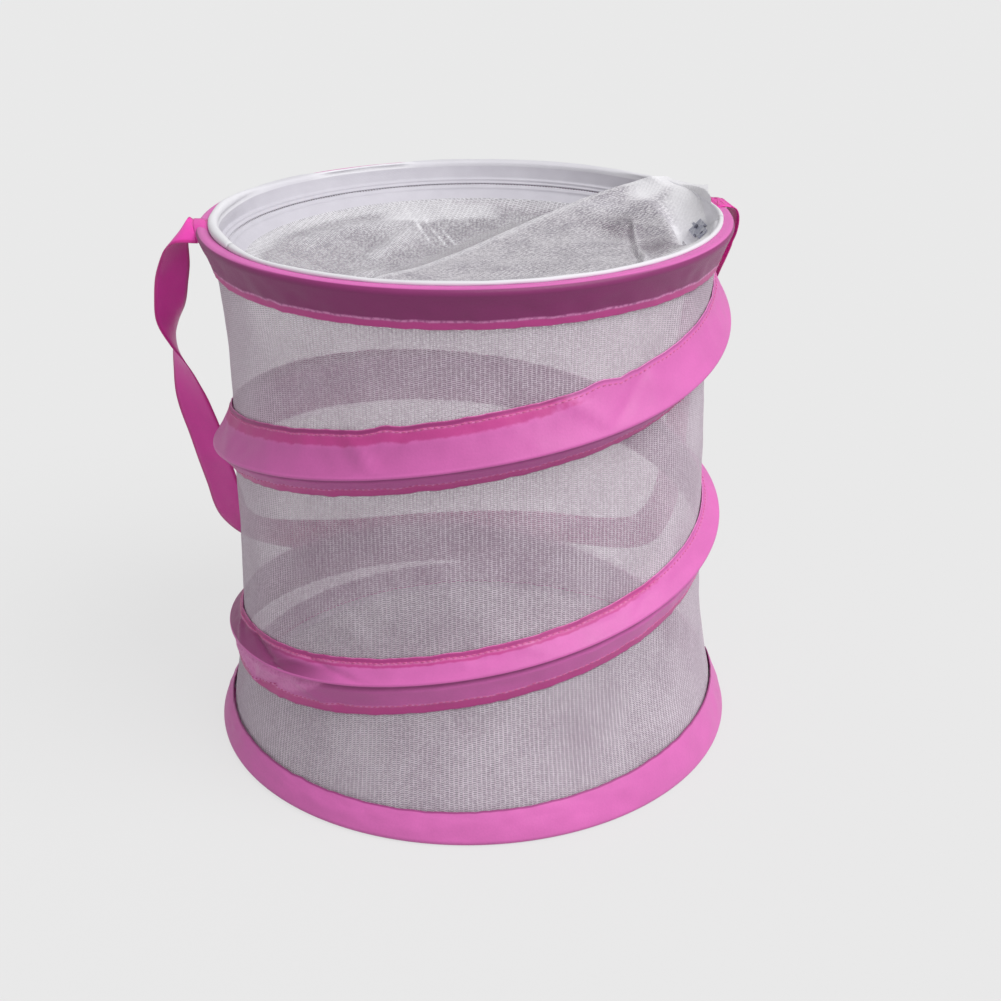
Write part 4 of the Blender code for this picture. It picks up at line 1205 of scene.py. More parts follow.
    def add_line(self, name: str, sections: Sequence[tuple[float, list[Pair]]], outer: int,
                 inner: int) -> None:
        """Add a stitched line that runs between two points of every section.

        Args:
            name: The piece that the line belongs to.
            sections: The angles, with their sections.
            outer: The place of one point in each section.
            inner: The place of the other point.
        """
        run, ways = [], []
        for angle, points in sections:
            start, stop = points[outer], points[inner]
            middle = ((start[0] + stop[0]) / 2, (start[1] + stop[1]) / 2)
            slope = np.array((stop[1] - start[1], -(stop[0] - start[0])))
            slope = slope / np.linalg.norm(slope)
            if slope[0] < 0:
                slope = -slope
            turn = math.radians(angle)
            way = np.array((slope[0] * math.cos(turn), slope[0] * math.sin(turn), slope[1]))
            run.append(np.array(place(angle, *middle)) + way * self.stitch_lift)
            ways.append(way)
        self.lines.setdefault(name, []).append((np.array(run), np.array(ways)))

    def ring_section(self, angle: float, ring: Ring) -> tuple[list[Pair], dict[str, Array]]:
        """The section of a ring's sleeve, from its seam to its lap, and its dye marks."""
        ragged = 0.0007 * drift(angle * 0.29, 2.0, 7.0) + 0.0005 * drift(angle * 1.0, 5.0, 1.0)
        edge = FORM.seam_point(ring.seam_at(angle) + ring.way * ragged)
        start = touch(ring.centre, FORM.ring_channel, edge, ring.way)
        arc = round_wire(ring.centre, FORM.ring_channel, start, -ring.way * math.pi / 2)
        outer = self.face(edge, arc[0], 7, ring.sag, angle, ring.seed)
        end = arc[-1]
        inner = [(end[0] + (ring.lap[0] - end[0]) * index / 3, end[1] + (ring.lap[1] - end[1]) * index / 3)
                 for index in range(1, 4)]
        return outer + arc + inner, self.ring_marks(angle, outer, edge, ring)

    def ring_marks(self, angle: float, outer: list[Pair], edge: Pair, ring: Ring) -> dict[str, Array]:
        """The colour marks of a ring's section: painted shade on the top ring's outer face and along the
        bottom ring's seam edge.

        Args:
            angle: The angle round the cage.
            outer: The points of its outer face, from the seam.
            edge: The seam's point.
            ring: The ring.

        Returns:
            The values of the marks, one for each point of the section.
        """
        away = np.array([math.dist(edge, point) for point in outer])
        rest = np.zeros(ARC_POINTS + 3)
        if ring is BOTTOM_RING:
            # painted shade along the bottom sleeve's seam edge, where it meets the net
            deep = 0.8 * fade(0.0006, 0.0014, away)
            plain = np.concatenate([0 * away, rest])
            return {"seam": plain, "deep": np.concatenate([deep, rest]), "trim": plain}
        ragged = 0.0004 * drift(angle * 0.5, 2.0, 6.0)
        seam = fade(0.0036, 0.0046, away + ragged)
        # painted shade on the top ring's outer face below its seam strip and round the wire's outer side up
        # to the light roll on top, reaching further round at the front
        end = 3.7 + 1.7 * hump(wrapped(angle + 95.0), 0.0, 52.0)
        arc = [fade(end, end + 0.8, index) for index in range(ARC_POINTS)]
        deep = np.concatenate([0.97 * smoothstep(0.0038, 0.0048, away), arc, np.zeros(3)])
        trim = 0.85 * hump(away, 0.0046, 0.00045) + 0.4 * fade(0.0, 0.0005, away)
        return {"seam": np.concatenate([seam, rest]), "deep": deep, "trim": np.concatenate([trim, rest])}

    def build_ring(self, ring: Ring) -> None:
        """Make a ring's sleeve and its stitched line."""
        angles = sorted({*np.arange(0.0, 360.0, self.step), *ring.seam_steps})
        found = {angle: self.ring_section(angle, ring) for angle in angles}
        sleeve = revolve(f"{ring.name}_sleeve_cloth", angles, lambda angle: np.array(found[angle][0]),
                         closed=True, marks_at=lambda angle: found[angle][1], flip=ring is TOP_RING)
        thicken(sleeve, self.cloth)
        finish_with(sleeve, PINK_TAFFETA)
        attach(sleeve, ring.body)
        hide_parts(f"{ring.name}_sleeve")
        sections = [(angle, found[angle % 360][0]) for angle in (*angles, angles[0] + 360)]
        self.add_line(f"{ring.name}_stitches", sections, 7, 8)

    def build_stitches(self) -> None:
        """Make the stitches along every seam."""
        for name, lines in self.lines.items():
            thread = self.rows.along(name, lines, self.stitch_step, self.stitch, PINK_THREAD,
                                     tilt=self.stitch_tilt)
            if name == "spiral_stitches":
                fold_with_base(thread)
            else:
                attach(thread, "top" if name == "top_stitches" else "base")


def round_wire(centre: Pair, radius: float, start: float, stop: float) -> list[Pair]:
    """The part of a sleeve's section that goes round a wire.

    Args:
        centre: The wire's middle, in the section.
        radius: How far from it the sleeve lies.
        start: The angle where the part starts, in radians.
        stop: The angle where it stops.

    Returns:
        Its points.
    """
    found = []
    for index in range(ARC_POINTS):
        turn = start + (stop - start) * index / (ARC_POINTS - 1)
        found.append((centre[0] + radius * math.cos(turn), centre[1] + radius * math.sin(turn)))
    return found


def touch(centre: Pair, radius: float, point: Pair, side: int) -> float:
    """Where a straight line from a point touches a wire's outer side.

    Args:
        centre: The wire's middle, in the section.
        radius: The radius that it touches.
        point: Where the line starts.
        side: 1 for the upper side and -1 for the lower one.

    Returns:
        The angle of that place on the wire, in radians.
    """
    across, up = point[0] - centre[0], point[1] - centre[1]
    return math.atan2(up, across) - side * math.acos(min(radius / math.hypot(across, up), 1.0))


# Wires

@dataclass
class SpiralWire:
    """The spring wire inside the spiral's sleeve, made with Geometry Nodes from its path."""

    wire_radius: float = 0.001
    sides: int = 8
    step: float = 2.5

    def build(self) -> None:
        """Sweep a round section along the spiral."""
        angles = np.arange(FORM.spiral_start, FORM.spiral_end + 0.1, self.step)
        points = [place(angle, *FORM.spiral_centre(angle)) for angle in angles]
        mesh = bpy.data.meshes.new("spiral_wire_core")
        mesh.from_pydata(points, [(index, index + 1) for index in range(len(points) - 1)], [])
        wire = new_object("spiral_wire_core", mesh)
        group = NodeGroup(
            "wire along a path",
            {"Path": "Geometry", "Radius": "Float", "Sides": "Int", "Finish": "Material"},
            {"curve": ("GeometryNodeMeshToCurve", {}), "section": ("GeometryNodeCurvePrimitiveCircle", {}),
             "swept": ("GeometryNodeCurveToMesh", {"Fill Caps": True}),
             "real": ("GeometryNodeRealizeInstances", {}), "dressed": ("GeometryNodeSetMaterial", {})},
            (("given", "Path", "curve", 0), ("given", "Radius", "section", "Radius"),
             ("given", "Sides", "section", "Resolution"), ("curve", 0, "swept", "Curve"),
             ("section", "Curve", "swept", "Profile Curve"), ("swept", 0, "real", 0),
             ("real", 0, "dressed", "Geometry"), ("given", "Finish", "dressed", "Material"),
             ("dressed", 0, "result", 0)))
        values = {"Radius": self.wire_radius, "Sides": self.sides, "Finish": material_of(SPRING_STEEL)}
        group.run_on(wire, values)
        wire.data.shade_smooth()
        finish_with(wire, SPRING_STEEL)
        fold_with_base(wire)
        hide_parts("spiral_wire")


# Lid and zipper

@dataclass
class Lid:
    """The slack net lid, its tapes and hem, and the zipper's teeth."""

    rows: SmallRow
    net_radii: tuple[float, ...] = (0.0, 0.17, 0.34, 0.52, 0.67, 0.77, 0.8445, 0.91, 0.9368)
    net_drops: tuple[float, ...] = (1.0, 0.995, 0.965, 0.87, 0.72, 0.59, 0.477, 0.292, 0.10)
    spokes: int = 288
    rings: int = 72
    main_fold: tuple[Triple, ...] = (
        (-0.0500, -0.1238, 0.3054), (-0.0465, -0.1056, 0.3038), (-0.0418, -0.0740, 0.2970),
        (-0.0354, -0.0474, 0.2910), (-0.0256, -0.0219, 0.2865), (-0.0121, -0.0022, 0.2860),
        (0.0020, 0.0130, 0.2875), (0.0165, 0.0292, 0.2895), (0.0316, 0.0451, 0.2918),
        (0.0439, 0.0566, 0.2942), (0.0562, 0.0643, 0.2970), (0.0687, 0.0719, 0.3002),
        (0.0809, 0.0745, 0.3040), (0.0928, 0.0744, 0.3078), (0.1044, 0.0715, 0.3113),
        (0.1127, 0.0690, 0.3138), (0.1216, 0.0790, 0.3120))
    far_edge: tuple[tuple[float, float, float, float], ...] = (
        (0.00, -111.0, 0.1345, 0.3064), (0.60, -16.0, 0.1345, 0.3066), (0.66, -11.0, 0.1368, 0.3086),
        (0.72, -5.0, 0.1386, 0.3106), (0.78, 1.0, 0.1390, 0.3110), (0.83, 6.5, 0.1394, 0.3114),
        (0.87, 11.0, 0.1406, 0.3128), (0.91, 15.5, 0.1455, 0.3134), (0.95, 22.0, 0.1472, 0.3113),
        (1.00, 31.0, 0.1452, 0.3112))
    tooth_step: float = 0.0019
    tooth: Triple = (0.0011, 0.0030, 0.0009)
    tooth_place: Pair = (0.0009, -0.00040)
    pleats: tuple[tuple[float, float, float, float, float, float], ...] = (
        (-0.100, 0.040, -0.072, 0.078, 0.0020, 0.0080),
        (-0.072, 0.078, -0.030, 0.098, 0.0020, 0.0080),
        (-0.060, -0.070, -0.020, -0.020, 0.0016, 0.0090),
        (-0.095, -0.020, -0.045, 0.030, 0.0016, 0.0080),
        (-0.060, 0.040, -0.030, 0.090, 0.0024, 0.0060))
    streaks: tuple[Pair, ...] = ((-0.027, 0.088), (-0.017, 0.084), (-0.009, 0.080))
    open_patches: tuple[tuple[float, float, float, float], ...] = (
        (0.088, 0.018, 0.011, 0.022), (0.100, -0.036, 0.010, 0.019))
    roll: float = 0.00105
    roll_points: int = 13
    hem_edge: float = 0.13535
    tape_edge: float = 0.1219
    tape_thickness: float = 0.0005
    tape_gap: float = 0.13
    rim_section: tuple[Pair, ...] = (
        (0.00042, 0.0), (0.0011, 0.0003), (0.0018, -0.0001), (0.0026, -0.0001), (0.0033, 0.0007),
        (0.0041, 0.0), (0.0052, 0.0))
    inner_section: tuple[Pair, ...] = (
        (-0.0052, 0.0), (-0.0036, 0.0), (-0.0028, 0.0006), (-0.0020, 0.0), (-0.0012, 0.0002), (-0.00042, 0.0))
    tucked: float = 0.07
    fold_reach: float = 0.006

    def net_edge(self, angle: float) -> float:
        """The radius at which the net meets the tape or the hem."""
        front = between(angle % 360, (209.5, 212.0), (350.5, 352.8))
        return self.hem_edge + (self.tape_edge - self.hem_edge) * (1 - front)

    def beside_fold(self, x: float, y: float) -> Pair:
        """How far a place lies from the main fold, and the fold's height where it's nearest."""
        line = np.array(self.main_fold)
        starts, runs = line[:-1], np.diff(line, axis=0)
        along = (x - starts[:, 0]) * runs[:, 0] + (y - starts[:, 1]) * runs[:, 1]
        shares = along / (runs[:, :2] ** 2).sum(axis=1)
        spots = starts + runs * np.clip(shares, 0.0, 1.0)[:, None]
        away = np.hypot(spots[:, 0] - x, spots[:, 1] - y)
        nearest = int(np.argmin(away))
        return float(away[nearest]), float(spots[nearest, 2])

    def crest(self, x: float, y: float) -> float:
        """How pale and close the net lies at a place: painted highlight on its folds and streaks, and doubled
        along the back tape.
        """
        radius, angle = math.hypot(x, y), math.degrees(math.atan2(y, x))
        ragged = 0.0030 * drift(x * 60, y * 60, 0.0, 44.0)
        doubled = smoothstep(0.1010, 0.1060, radius + ragged)
        doubled *= between(angle, (76.0, 84.0), (112.0, 122.0))
        streaks = 0.0
        for x0, y0 in self.streaks:
            beside, along = (x - x0) * 0.91 + (y - y0) * 0.42, (y - y0) * 0.91 - (x - x0) * 0.42
            streaks += float(hump(beside, 0.0, 0.0009) * hump(along, 0.0, 0.019))
        front = 0.7 * smoothstep(0.1285, 0.1325, radius + 0.4 * ragged) * (angle < -8)
        back = 0.55 * smoothstep(0.1120, 0.1190, radius + ragged) * (angle > 10 or angle < -150)
        found = max(0.6 * doubled, front, back)
        # the streaks and the folds' height add painted highlight on their tops
        return found + 0.8 * min(streaks, 1.0) + self.folds(x, y) / 0.006 - 0.06

    def folds(self, x: float, y: float) -> float:
        """The height that the smaller folds add."""
        height = 0.0
        for x0, y0, x1, y1, rise, width in self.pleats:
            length = math.hypot(x1 - x0, y1 - y0)
            along = ((x - x0) * (x1 - x0) + (y - y0) * (y1 - y0)) / length
            beside = abs((y - y0) * (x1 - x0) - (x - x0) * (y1 - y0)) / length
            ends = between(along, (-0.012, 0.012), (length - 0.016, length + 0.012))
            height += rise * ends * math.exp(-(beside / width) ** 2)
        return height

    def net_point(self, angle: float, share: float) -> Triple:
        """A point of the slack net.

        Args:
            angle: Round the cage, in degrees.
            share: From 0 at the middle to 1 at the net's edge.

        Returns:
            The point.
        """
        radius = share * self.net_edge(angle)
        drops = np.interp(radius / FORM.top_wire_radius, self.net_radii, self.net_drops)
        height = FORM.lid_crest - drops * FORM.lid_sag
        x, y, _ = place(angle, radius, 0.0)
        edge_free = min(max((1 - share) * 9, 0.0), 1.0)
        away, fold_height = self.beside_fold(x, y)
        slope = fold_height - 0.0014 - 0.40 * (math.hypot(away, 0.006) - 0.006)
        reach = (0.094, 0.116) if y > -0.03 else (0.110, 0.132)
        inside = 1 - smoothstep(*reach, radius)
        rise = max(slope - height, 0.0)
        height += inside * rise * rise / (rise + 0.0012)
        height += 1.2 * self.folds(x, y) * edge_free
        height += 0.0012 * drift(x * 26, y * 26, 0.3, 42.0) * edge_free
        height += 0.0006 * drift(x * 70 + y * 30, y * 22 - x * 12, 0.8, 43.0) * edge_free
        return x, y, height

    def fold_blend(self, piece: bpy.types.Object) -> None:
        """Let a cloth bend across the line where the flap folds."""
        ends = [np.array(place(a, FORM.zip_radius, FORM.zip_height)) for a in (FORM.zip_start, FORM.zip_end)]
        across = ends[0] - ends[1]
        backwards = np.cross((0.0, 0.0, 1.0), across / np.linalg.norm(across))
        middle = (ends[0] + ends[1]) / 2
        reach = backwards * self.fold_reach
        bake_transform(piece, "top", "lid", start=tuple(middle - reach), end=tuple(middle + reach))

    def build_net(self) -> None:
        """Make the whole lid's net, which bends where the flap folds."""
        angles = (np.arange(self.spokes) * 360 / self.spokes).tolist()
        shares = [0.004, *np.linspace(0.02, 1.0, self.rings - 2).tolist(), 1.012]
        points = np.array([[self.net_point(angle, share) for share in shares] for angle in angles])
        uv = np.concatenate([points, points[:1]])[..., :2].copy()
        crests = np.array([[self.crest(*point[:2]) for point in line] for line in points])
        net = cloth_grid("lid_net_cloth", points, uv, closed=True, marks={"crest": crests})
        finish_with(net, LID_NET)
        self.fold_blend(net)
        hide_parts("front_net", "flap_net")

    def overlap_seam(self, x: float, y: float) -> Pair:
        """How far a place lies from the second layer's stitched seam, and 1 where the seam runs beside it."""
        away = x - (0.0925 + 0.045 * y) - 0.0012 * drift(y * 40, 0.0, 0.0, 73.0)
        return away, between(y, (-0.095, -0.075), (0.012, 0.030))

    def overlap_point(self, share: float, across: float) -> Array:
        """A point of the net's second layer.

        Args:
            share: Along the main fold, from 0 at the front to 1 at the right.
            across: From 0 at the fold's underside to 1 at the rim.

        Returns:
            The point.
        """
        fold = spline([np.array(spot) for spot in self.main_fold], share * (len(self.main_fold) - 1))
        edge = np.array(self.far_edge)
        angle, radius, height = (float(np.interp(share, edge[:, 0], edge[:, part])) for part in (1, 2, 3))
        run = np.array(place(angle, radius, height)) - fold
        span = max((across - self.tucked) / (1 - self.tucked), 0.0)
        tuck = max(1 - across / self.tucked, 0.0)
        level = run * np.array((1.0, 1.0, 0.0))
        under = level / max(float(np.linalg.norm(level)), 1e-6)
        spot = fold + run * span - under * 0.0026 * math.sin(math.pi / 2 * tuck)
        spot[2] -= 0.0062 * tuck ** 1.6 * (1 - 0.5 * share)
        free = math.sin(math.pi * min(max(span, 0.0), 1.0)) * min(12 * share, 12 * (1 - share), 1.0)
        x, y = float(spot[0]), float(spot[1])
        over_rim = hump(wrapped(angle), 17.0, 8.0) * hump(math.hypot(x, y), 0.1400, 0.012)
        spot[2] += 0.0052 * over_rim * min(6 * (1 - share), 1.0)
        spot[2] -= 0.0030 * free
        spot[2] += free * (0.0034 * drift(x * 17 + y * 12, y * 15, 0.0, 71.0)
                           + 0.0013 * drift(x * 58 - y * 20, y * 40 + x * 20, 0.0, 72.0))
        radius, turned = math.hypot(x, y), float(wrapped(math.degrees(math.atan2(y, x))))
        if radius < 0.1394:
            seat = hump(turned, 1.5, 11.0) ** 0.5 * smoothstep(0.112, 0.124, radius)
            slope = math.tan(math.radians(FORM.zip_slope))
            seat_height = FORM.zip_height + slope * (radius - FORM.zip_radius) + 0.0006
            spot[2] += (min(seat_height, float(spot[2])) - spot[2]) * seat
        away, along = self.overlap_seam(x, y)
        spot[2] += 0.0016 * along * float(hump(away, 0.0016, 0.0014) - hump(away, -0.0012, 0.0012))
        return spot

    def overlap_marks(self, x: float, y: float, share: float, across: float) -> Pair:
        """How pale the second layer is at a place, with painted highlight along its folded edge and seam and
        painted light beside the slider, and how far its holes show.
        """
        # painted highlight along the folded edge
        edge = 0.45 * hump(across, 0.085, 0.035)
        ragged = 0.003 * drift(x * 90, y * 90, 0.0, 74.0)
        # painted light: pale spots whitened over the shade beside the slider and at the back right
        painted_light_patch = float(smoothstep(0.108, 0.124, x + ragged) * smoothstep(-0.046, -0.024, y + ragged))
        painted_light_patch = max(painted_light_patch, float(smoothstep(0.044, 0.060, y + ragged) * smoothstep(0.090, 0.106, x)))
        away, along = self.overlap_seam(x, y)
        # a painted dark line with a painted highlight beside it, along the raised seam
        seam = along * (0.35 * hump(away, 0.0018, 0.0012) - 0.5 * hump(away, 0.0, 0.0007))
        opened = sum(hump(math.hypot((x - x0) / wide, (y - y0) / deep), 0.0, 1.0)
                     for x0, y0, wide, deep in self.open_patches)
        border = 0.7 * smoothstep(0.90, 0.97, across) * (1 - smoothstep(0.60, 0.66, share))
        return edge + 0.9 * painted_light_patch + seam + border - 0.08, min(opened, 1.0) * (1 - painted_light_patch)

    def build_overlap(self) -> None:
        """Make the net's second layer, folded over to the right of the main fold and out over the rim."""
        rows, columns = 180, 84
        points = np.zeros((rows, columns, 3))
        uv = np.zeros((rows, columns, 2))
        marks = {"crest": np.zeros((rows, columns)), "open": np.zeros((rows, columns))}
        for row in range(rows):
            for column in range(columns):
                across = column / (columns - 1)
                spot = self.overlap_point(row / (rows - 1), across)
                points[row, column] = spot
                uv[row, column] = (spot[0] * 0.94 + spot[1] * 0.34, spot[1] * 0.94 - spot[0] * 0.34)
                crest, opened = self.overlap_marks(float(spot[0]), float(spot[1]), row / (rows - 1), across)
                marks["crest"][row, column], marks["open"][row, column] = crest, opened
        cloth = cloth_grid("lid_overlap_cloth", points, uv, flip=True, marks=marks)
        finish_with(cloth, FOLDED_NET)
        self.fold_blend(cloth)

    def tape(self, name: str, start: float, stop: float, path_at: Callable[[float], Array], node: str,
             body: str) -> None:
        """Make a tape that is swept round the rim.

        Args:
            name: The piece's name.
            start: The angle where it starts.
            stop: The angle where it ends.
            path_at: Gives its section at an angle, from its inner edge outwards.
            node: The node that it replaces.
            body: The body that it rides on.
        """
        count = max(int(abs(stop - start) / 1.25), 4)

        def section(angle: float) -> Array:
            """The section with the tape's slight ripple."""
            shaped = np.array(path_at(angle), float)
            ripple = [0.0003 * drift(angle * 0.16, index * 0.2, 0.0, 51.0) for index in range(len(shaped))]
            shaped[:, 1] += np.array(ripple) * np.linspace(0.2, 1.0, len(shaped))
            return shaped

        def white_hem_and_painted_light(angle: float) -> dict[str, Array]:
            """The hem is white, and all of the tape round the zipper's right end is whitened as painted light
            over the shade there.
            """
            # painted light round the zipper's right end
            right = fade(10.0, 22.0, abs(float(wrapped(angle))))
            path = path_at(angle)
            edge = 1 - 0.55 * self.hem_cover(angle)
            hemmed = 0 if path_at == self.inner_path else self.roll_points + 1
            rolled = np.arange(len(path)) >= len(path) - hemmed
            return {"hem": np.maximum(edge * rolled, 0.85 * right)}

        piece = revolve(name, list(np.linspace(start, stop, count + 1)), section, marks_at=white_hem_and_painted_light)
        thicken(piece, self.tape_thickness, 0.0)
        finish_with(piece, WHITE_TAPE)
        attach(piece, body)
        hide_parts(node)
        paths = [np.array(path_at(angle), float) for angle in np.linspace(start, stop, 24)]

    def hem_fat(self, angle: float) -> float:
        """How full the hem is: it stands thick at the left."""
        return between(angle % 360, (146.0, 172.0), (202.0, 226.0))

    def at_back(self, angle: float) -> float:
        """1 along the back of the rim, and 0 at its sides and front."""
        return between(angle % 360, (30.0, 60.0), (138.0, 166.0))

    def hem_cover(self, angle: float) -> float:
        """How far the hem lies over the ring: it does at the back, but for a gap behind the middle."""
        gap = between(angle % 360, (101.0, 107.0), (127.0, 136.0))
        return self.at_back(angle) * (1 - gap)

    def hem_roll(self, angle: float) -> list[Pair]:
        """The soft edge on the rim: a roll, low under the strap, that lies flat over the ring at the back."""
        fat = self.hem_fat(angle)
        near_tab = hump(wrapped(angle - FORM.zip_start), 0.0, 7.0)
        fullness = 1 - 0.5 * self.at_back(angle) + 1.2 * fat
        radius = self.roll * fullness * (1 + 0.18 * drift(angle * 0.09, 0.0, 0.0, 52.0))
        radius *= 1 - 0.62 * min(near_tab, 1.0)
        middle = (0.1399 - 0.0019 * fat, 0.30935 + radius - 0.0008 * fat)
        turns = np.radians(np.linspace(232.0, -50.0, self.roll_points))
        rolled = np.stack([middle[0] + radius * np.cos(turns), middle[1] + radius * np.sin(turns)], axis=1)
        laid = resample(np.array([(0.1388, 0.3088), (0.1402, 0.3099), (0.1444, 0.3102), (0.1460, 0.3096),
                                  (0.14665, 0.3080)]), self.roll_points)
        return (rolled + (laid - rolled) * self.hem_cover(angle)).tolist()

    def rim_path(self, angle: float) -> Array:
        """The rim tape's section: its edge at the chain, two stitched ridges, and the rolled hem."""
        fat = self.hem_fat(angle)
        marks = [FORM.zip_point(*spot) for spot in self.rim_section]
        marks += [(0.1376 - 0.0022 * fat, 0.3049), (0.1386 - 0.0030 * fat, 0.3076)]
        return np.array([*resample(np.array(marks), 22), *self.hem_roll(angle)])

    def hem_path(self, angle: float) -> Array:
        """The front hem's section."""
        fat = self.hem_fat(angle)
        marks = [(0.1352 - 0.001 * fat, 0.3056), (0.1368 - 0.0024 * fat, 0.3088 - 0.0012 * fat),
                 (0.1385 - 0.0028 * fat, 0.3093 - 0.0010 * fat)]
        return np.array([*resample(np.array(marks), 8), *self.hem_roll(angle)])

    def inner_path(self, angle: float) -> Array:
        """The section of the tapes on the lid's side of the chain."""
        marks = [FORM.zip_point(*spot) for spot in self.inner_section]
        slope = math.radians(36.0)
        marks.insert(0, (marks[0][0] - 0.0068 * math.cos(slope), marks[0][1] - 0.0068 * math.sin(slope)))
        return resample(np.array(marks), 20)

    def build_tapes(self) -> None:
        """Make the zipper's tapes, and the hem at the front."""
        first, last = FORM.zip_start - FORM.zip_tape_end, FORM.zip_end + FORM.zip_tape_end
        for name, start, stop, path_at, node, body in (
                ("rim_tape_cloth", first, last, self.rim_path, "rim_zip_tape", "top"),
                ("front_hem_cloth", last, first + 360, self.hem_path, "front_hem", "top"),
                ("right_end_cloth", first, FORM.zip_start, self.inner_path, "zip_end_tape_right", "top"),
                ("left_end_cloth", FORM.zip_end, last, self.inner_path, "zip_end_tape_left", "top"),
                ("flap_tape_cloth", FORM.zip_start, FORM.zip_end, self.inner_path, "flap_zip_tape", "lid")):
            self.tape(name, start + self.tape_gap, stop - self.tape_gap, path_at, node, body)

    def build_teeth(self) -> None:
        """Make both rows of the zipper's coil, which mesh along its middle."""
        slope = math.radians(FORM.zip_slope)
        rows = (("rim_coil", "top", 1, "rim_zip_teeth"), ("flap_coil", "lid", -1, "flap_zip_teeth"))
        for name, body, side, node in rows:
            offset = 0.0 if side > 0 else 0.5 * self.tooth_step / FORM.zip_radius * 180 / math.pi
            angles = np.arange(FORM.zip_start + 0.3 + offset, FORM.zip_end - 0.2, 0.5)
            spot = FORM.zip_point(side * self.tooth_place[0], self.tooth_place[1])
            run = np.array([place(angle, *spot) for angle in angles])
            ways = np.array([place(angle, -math.sin(slope), math.cos(slope)) for angle in angles])
            coil = self.rows.along(name, [(run, ways)], self.tooth_step, self.tooth, NYLON, sides=8)
            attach(coil, body)
            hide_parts(node)


def resample(path: Array, count: int) -> Array:
    """Even points along a line, its corners kept soft."""
    steps = np.concatenate([[0.0], np.cumsum(np.linalg.norm(np.diff(path, axis=0), axis=1))])
    wanted = np.linspace(0.0, steps[-1], count)
    return np.stack([np.interp(wanted, steps, path[:, axis]) for axis in range(path.shape[1])], axis=1)


# Carry strap

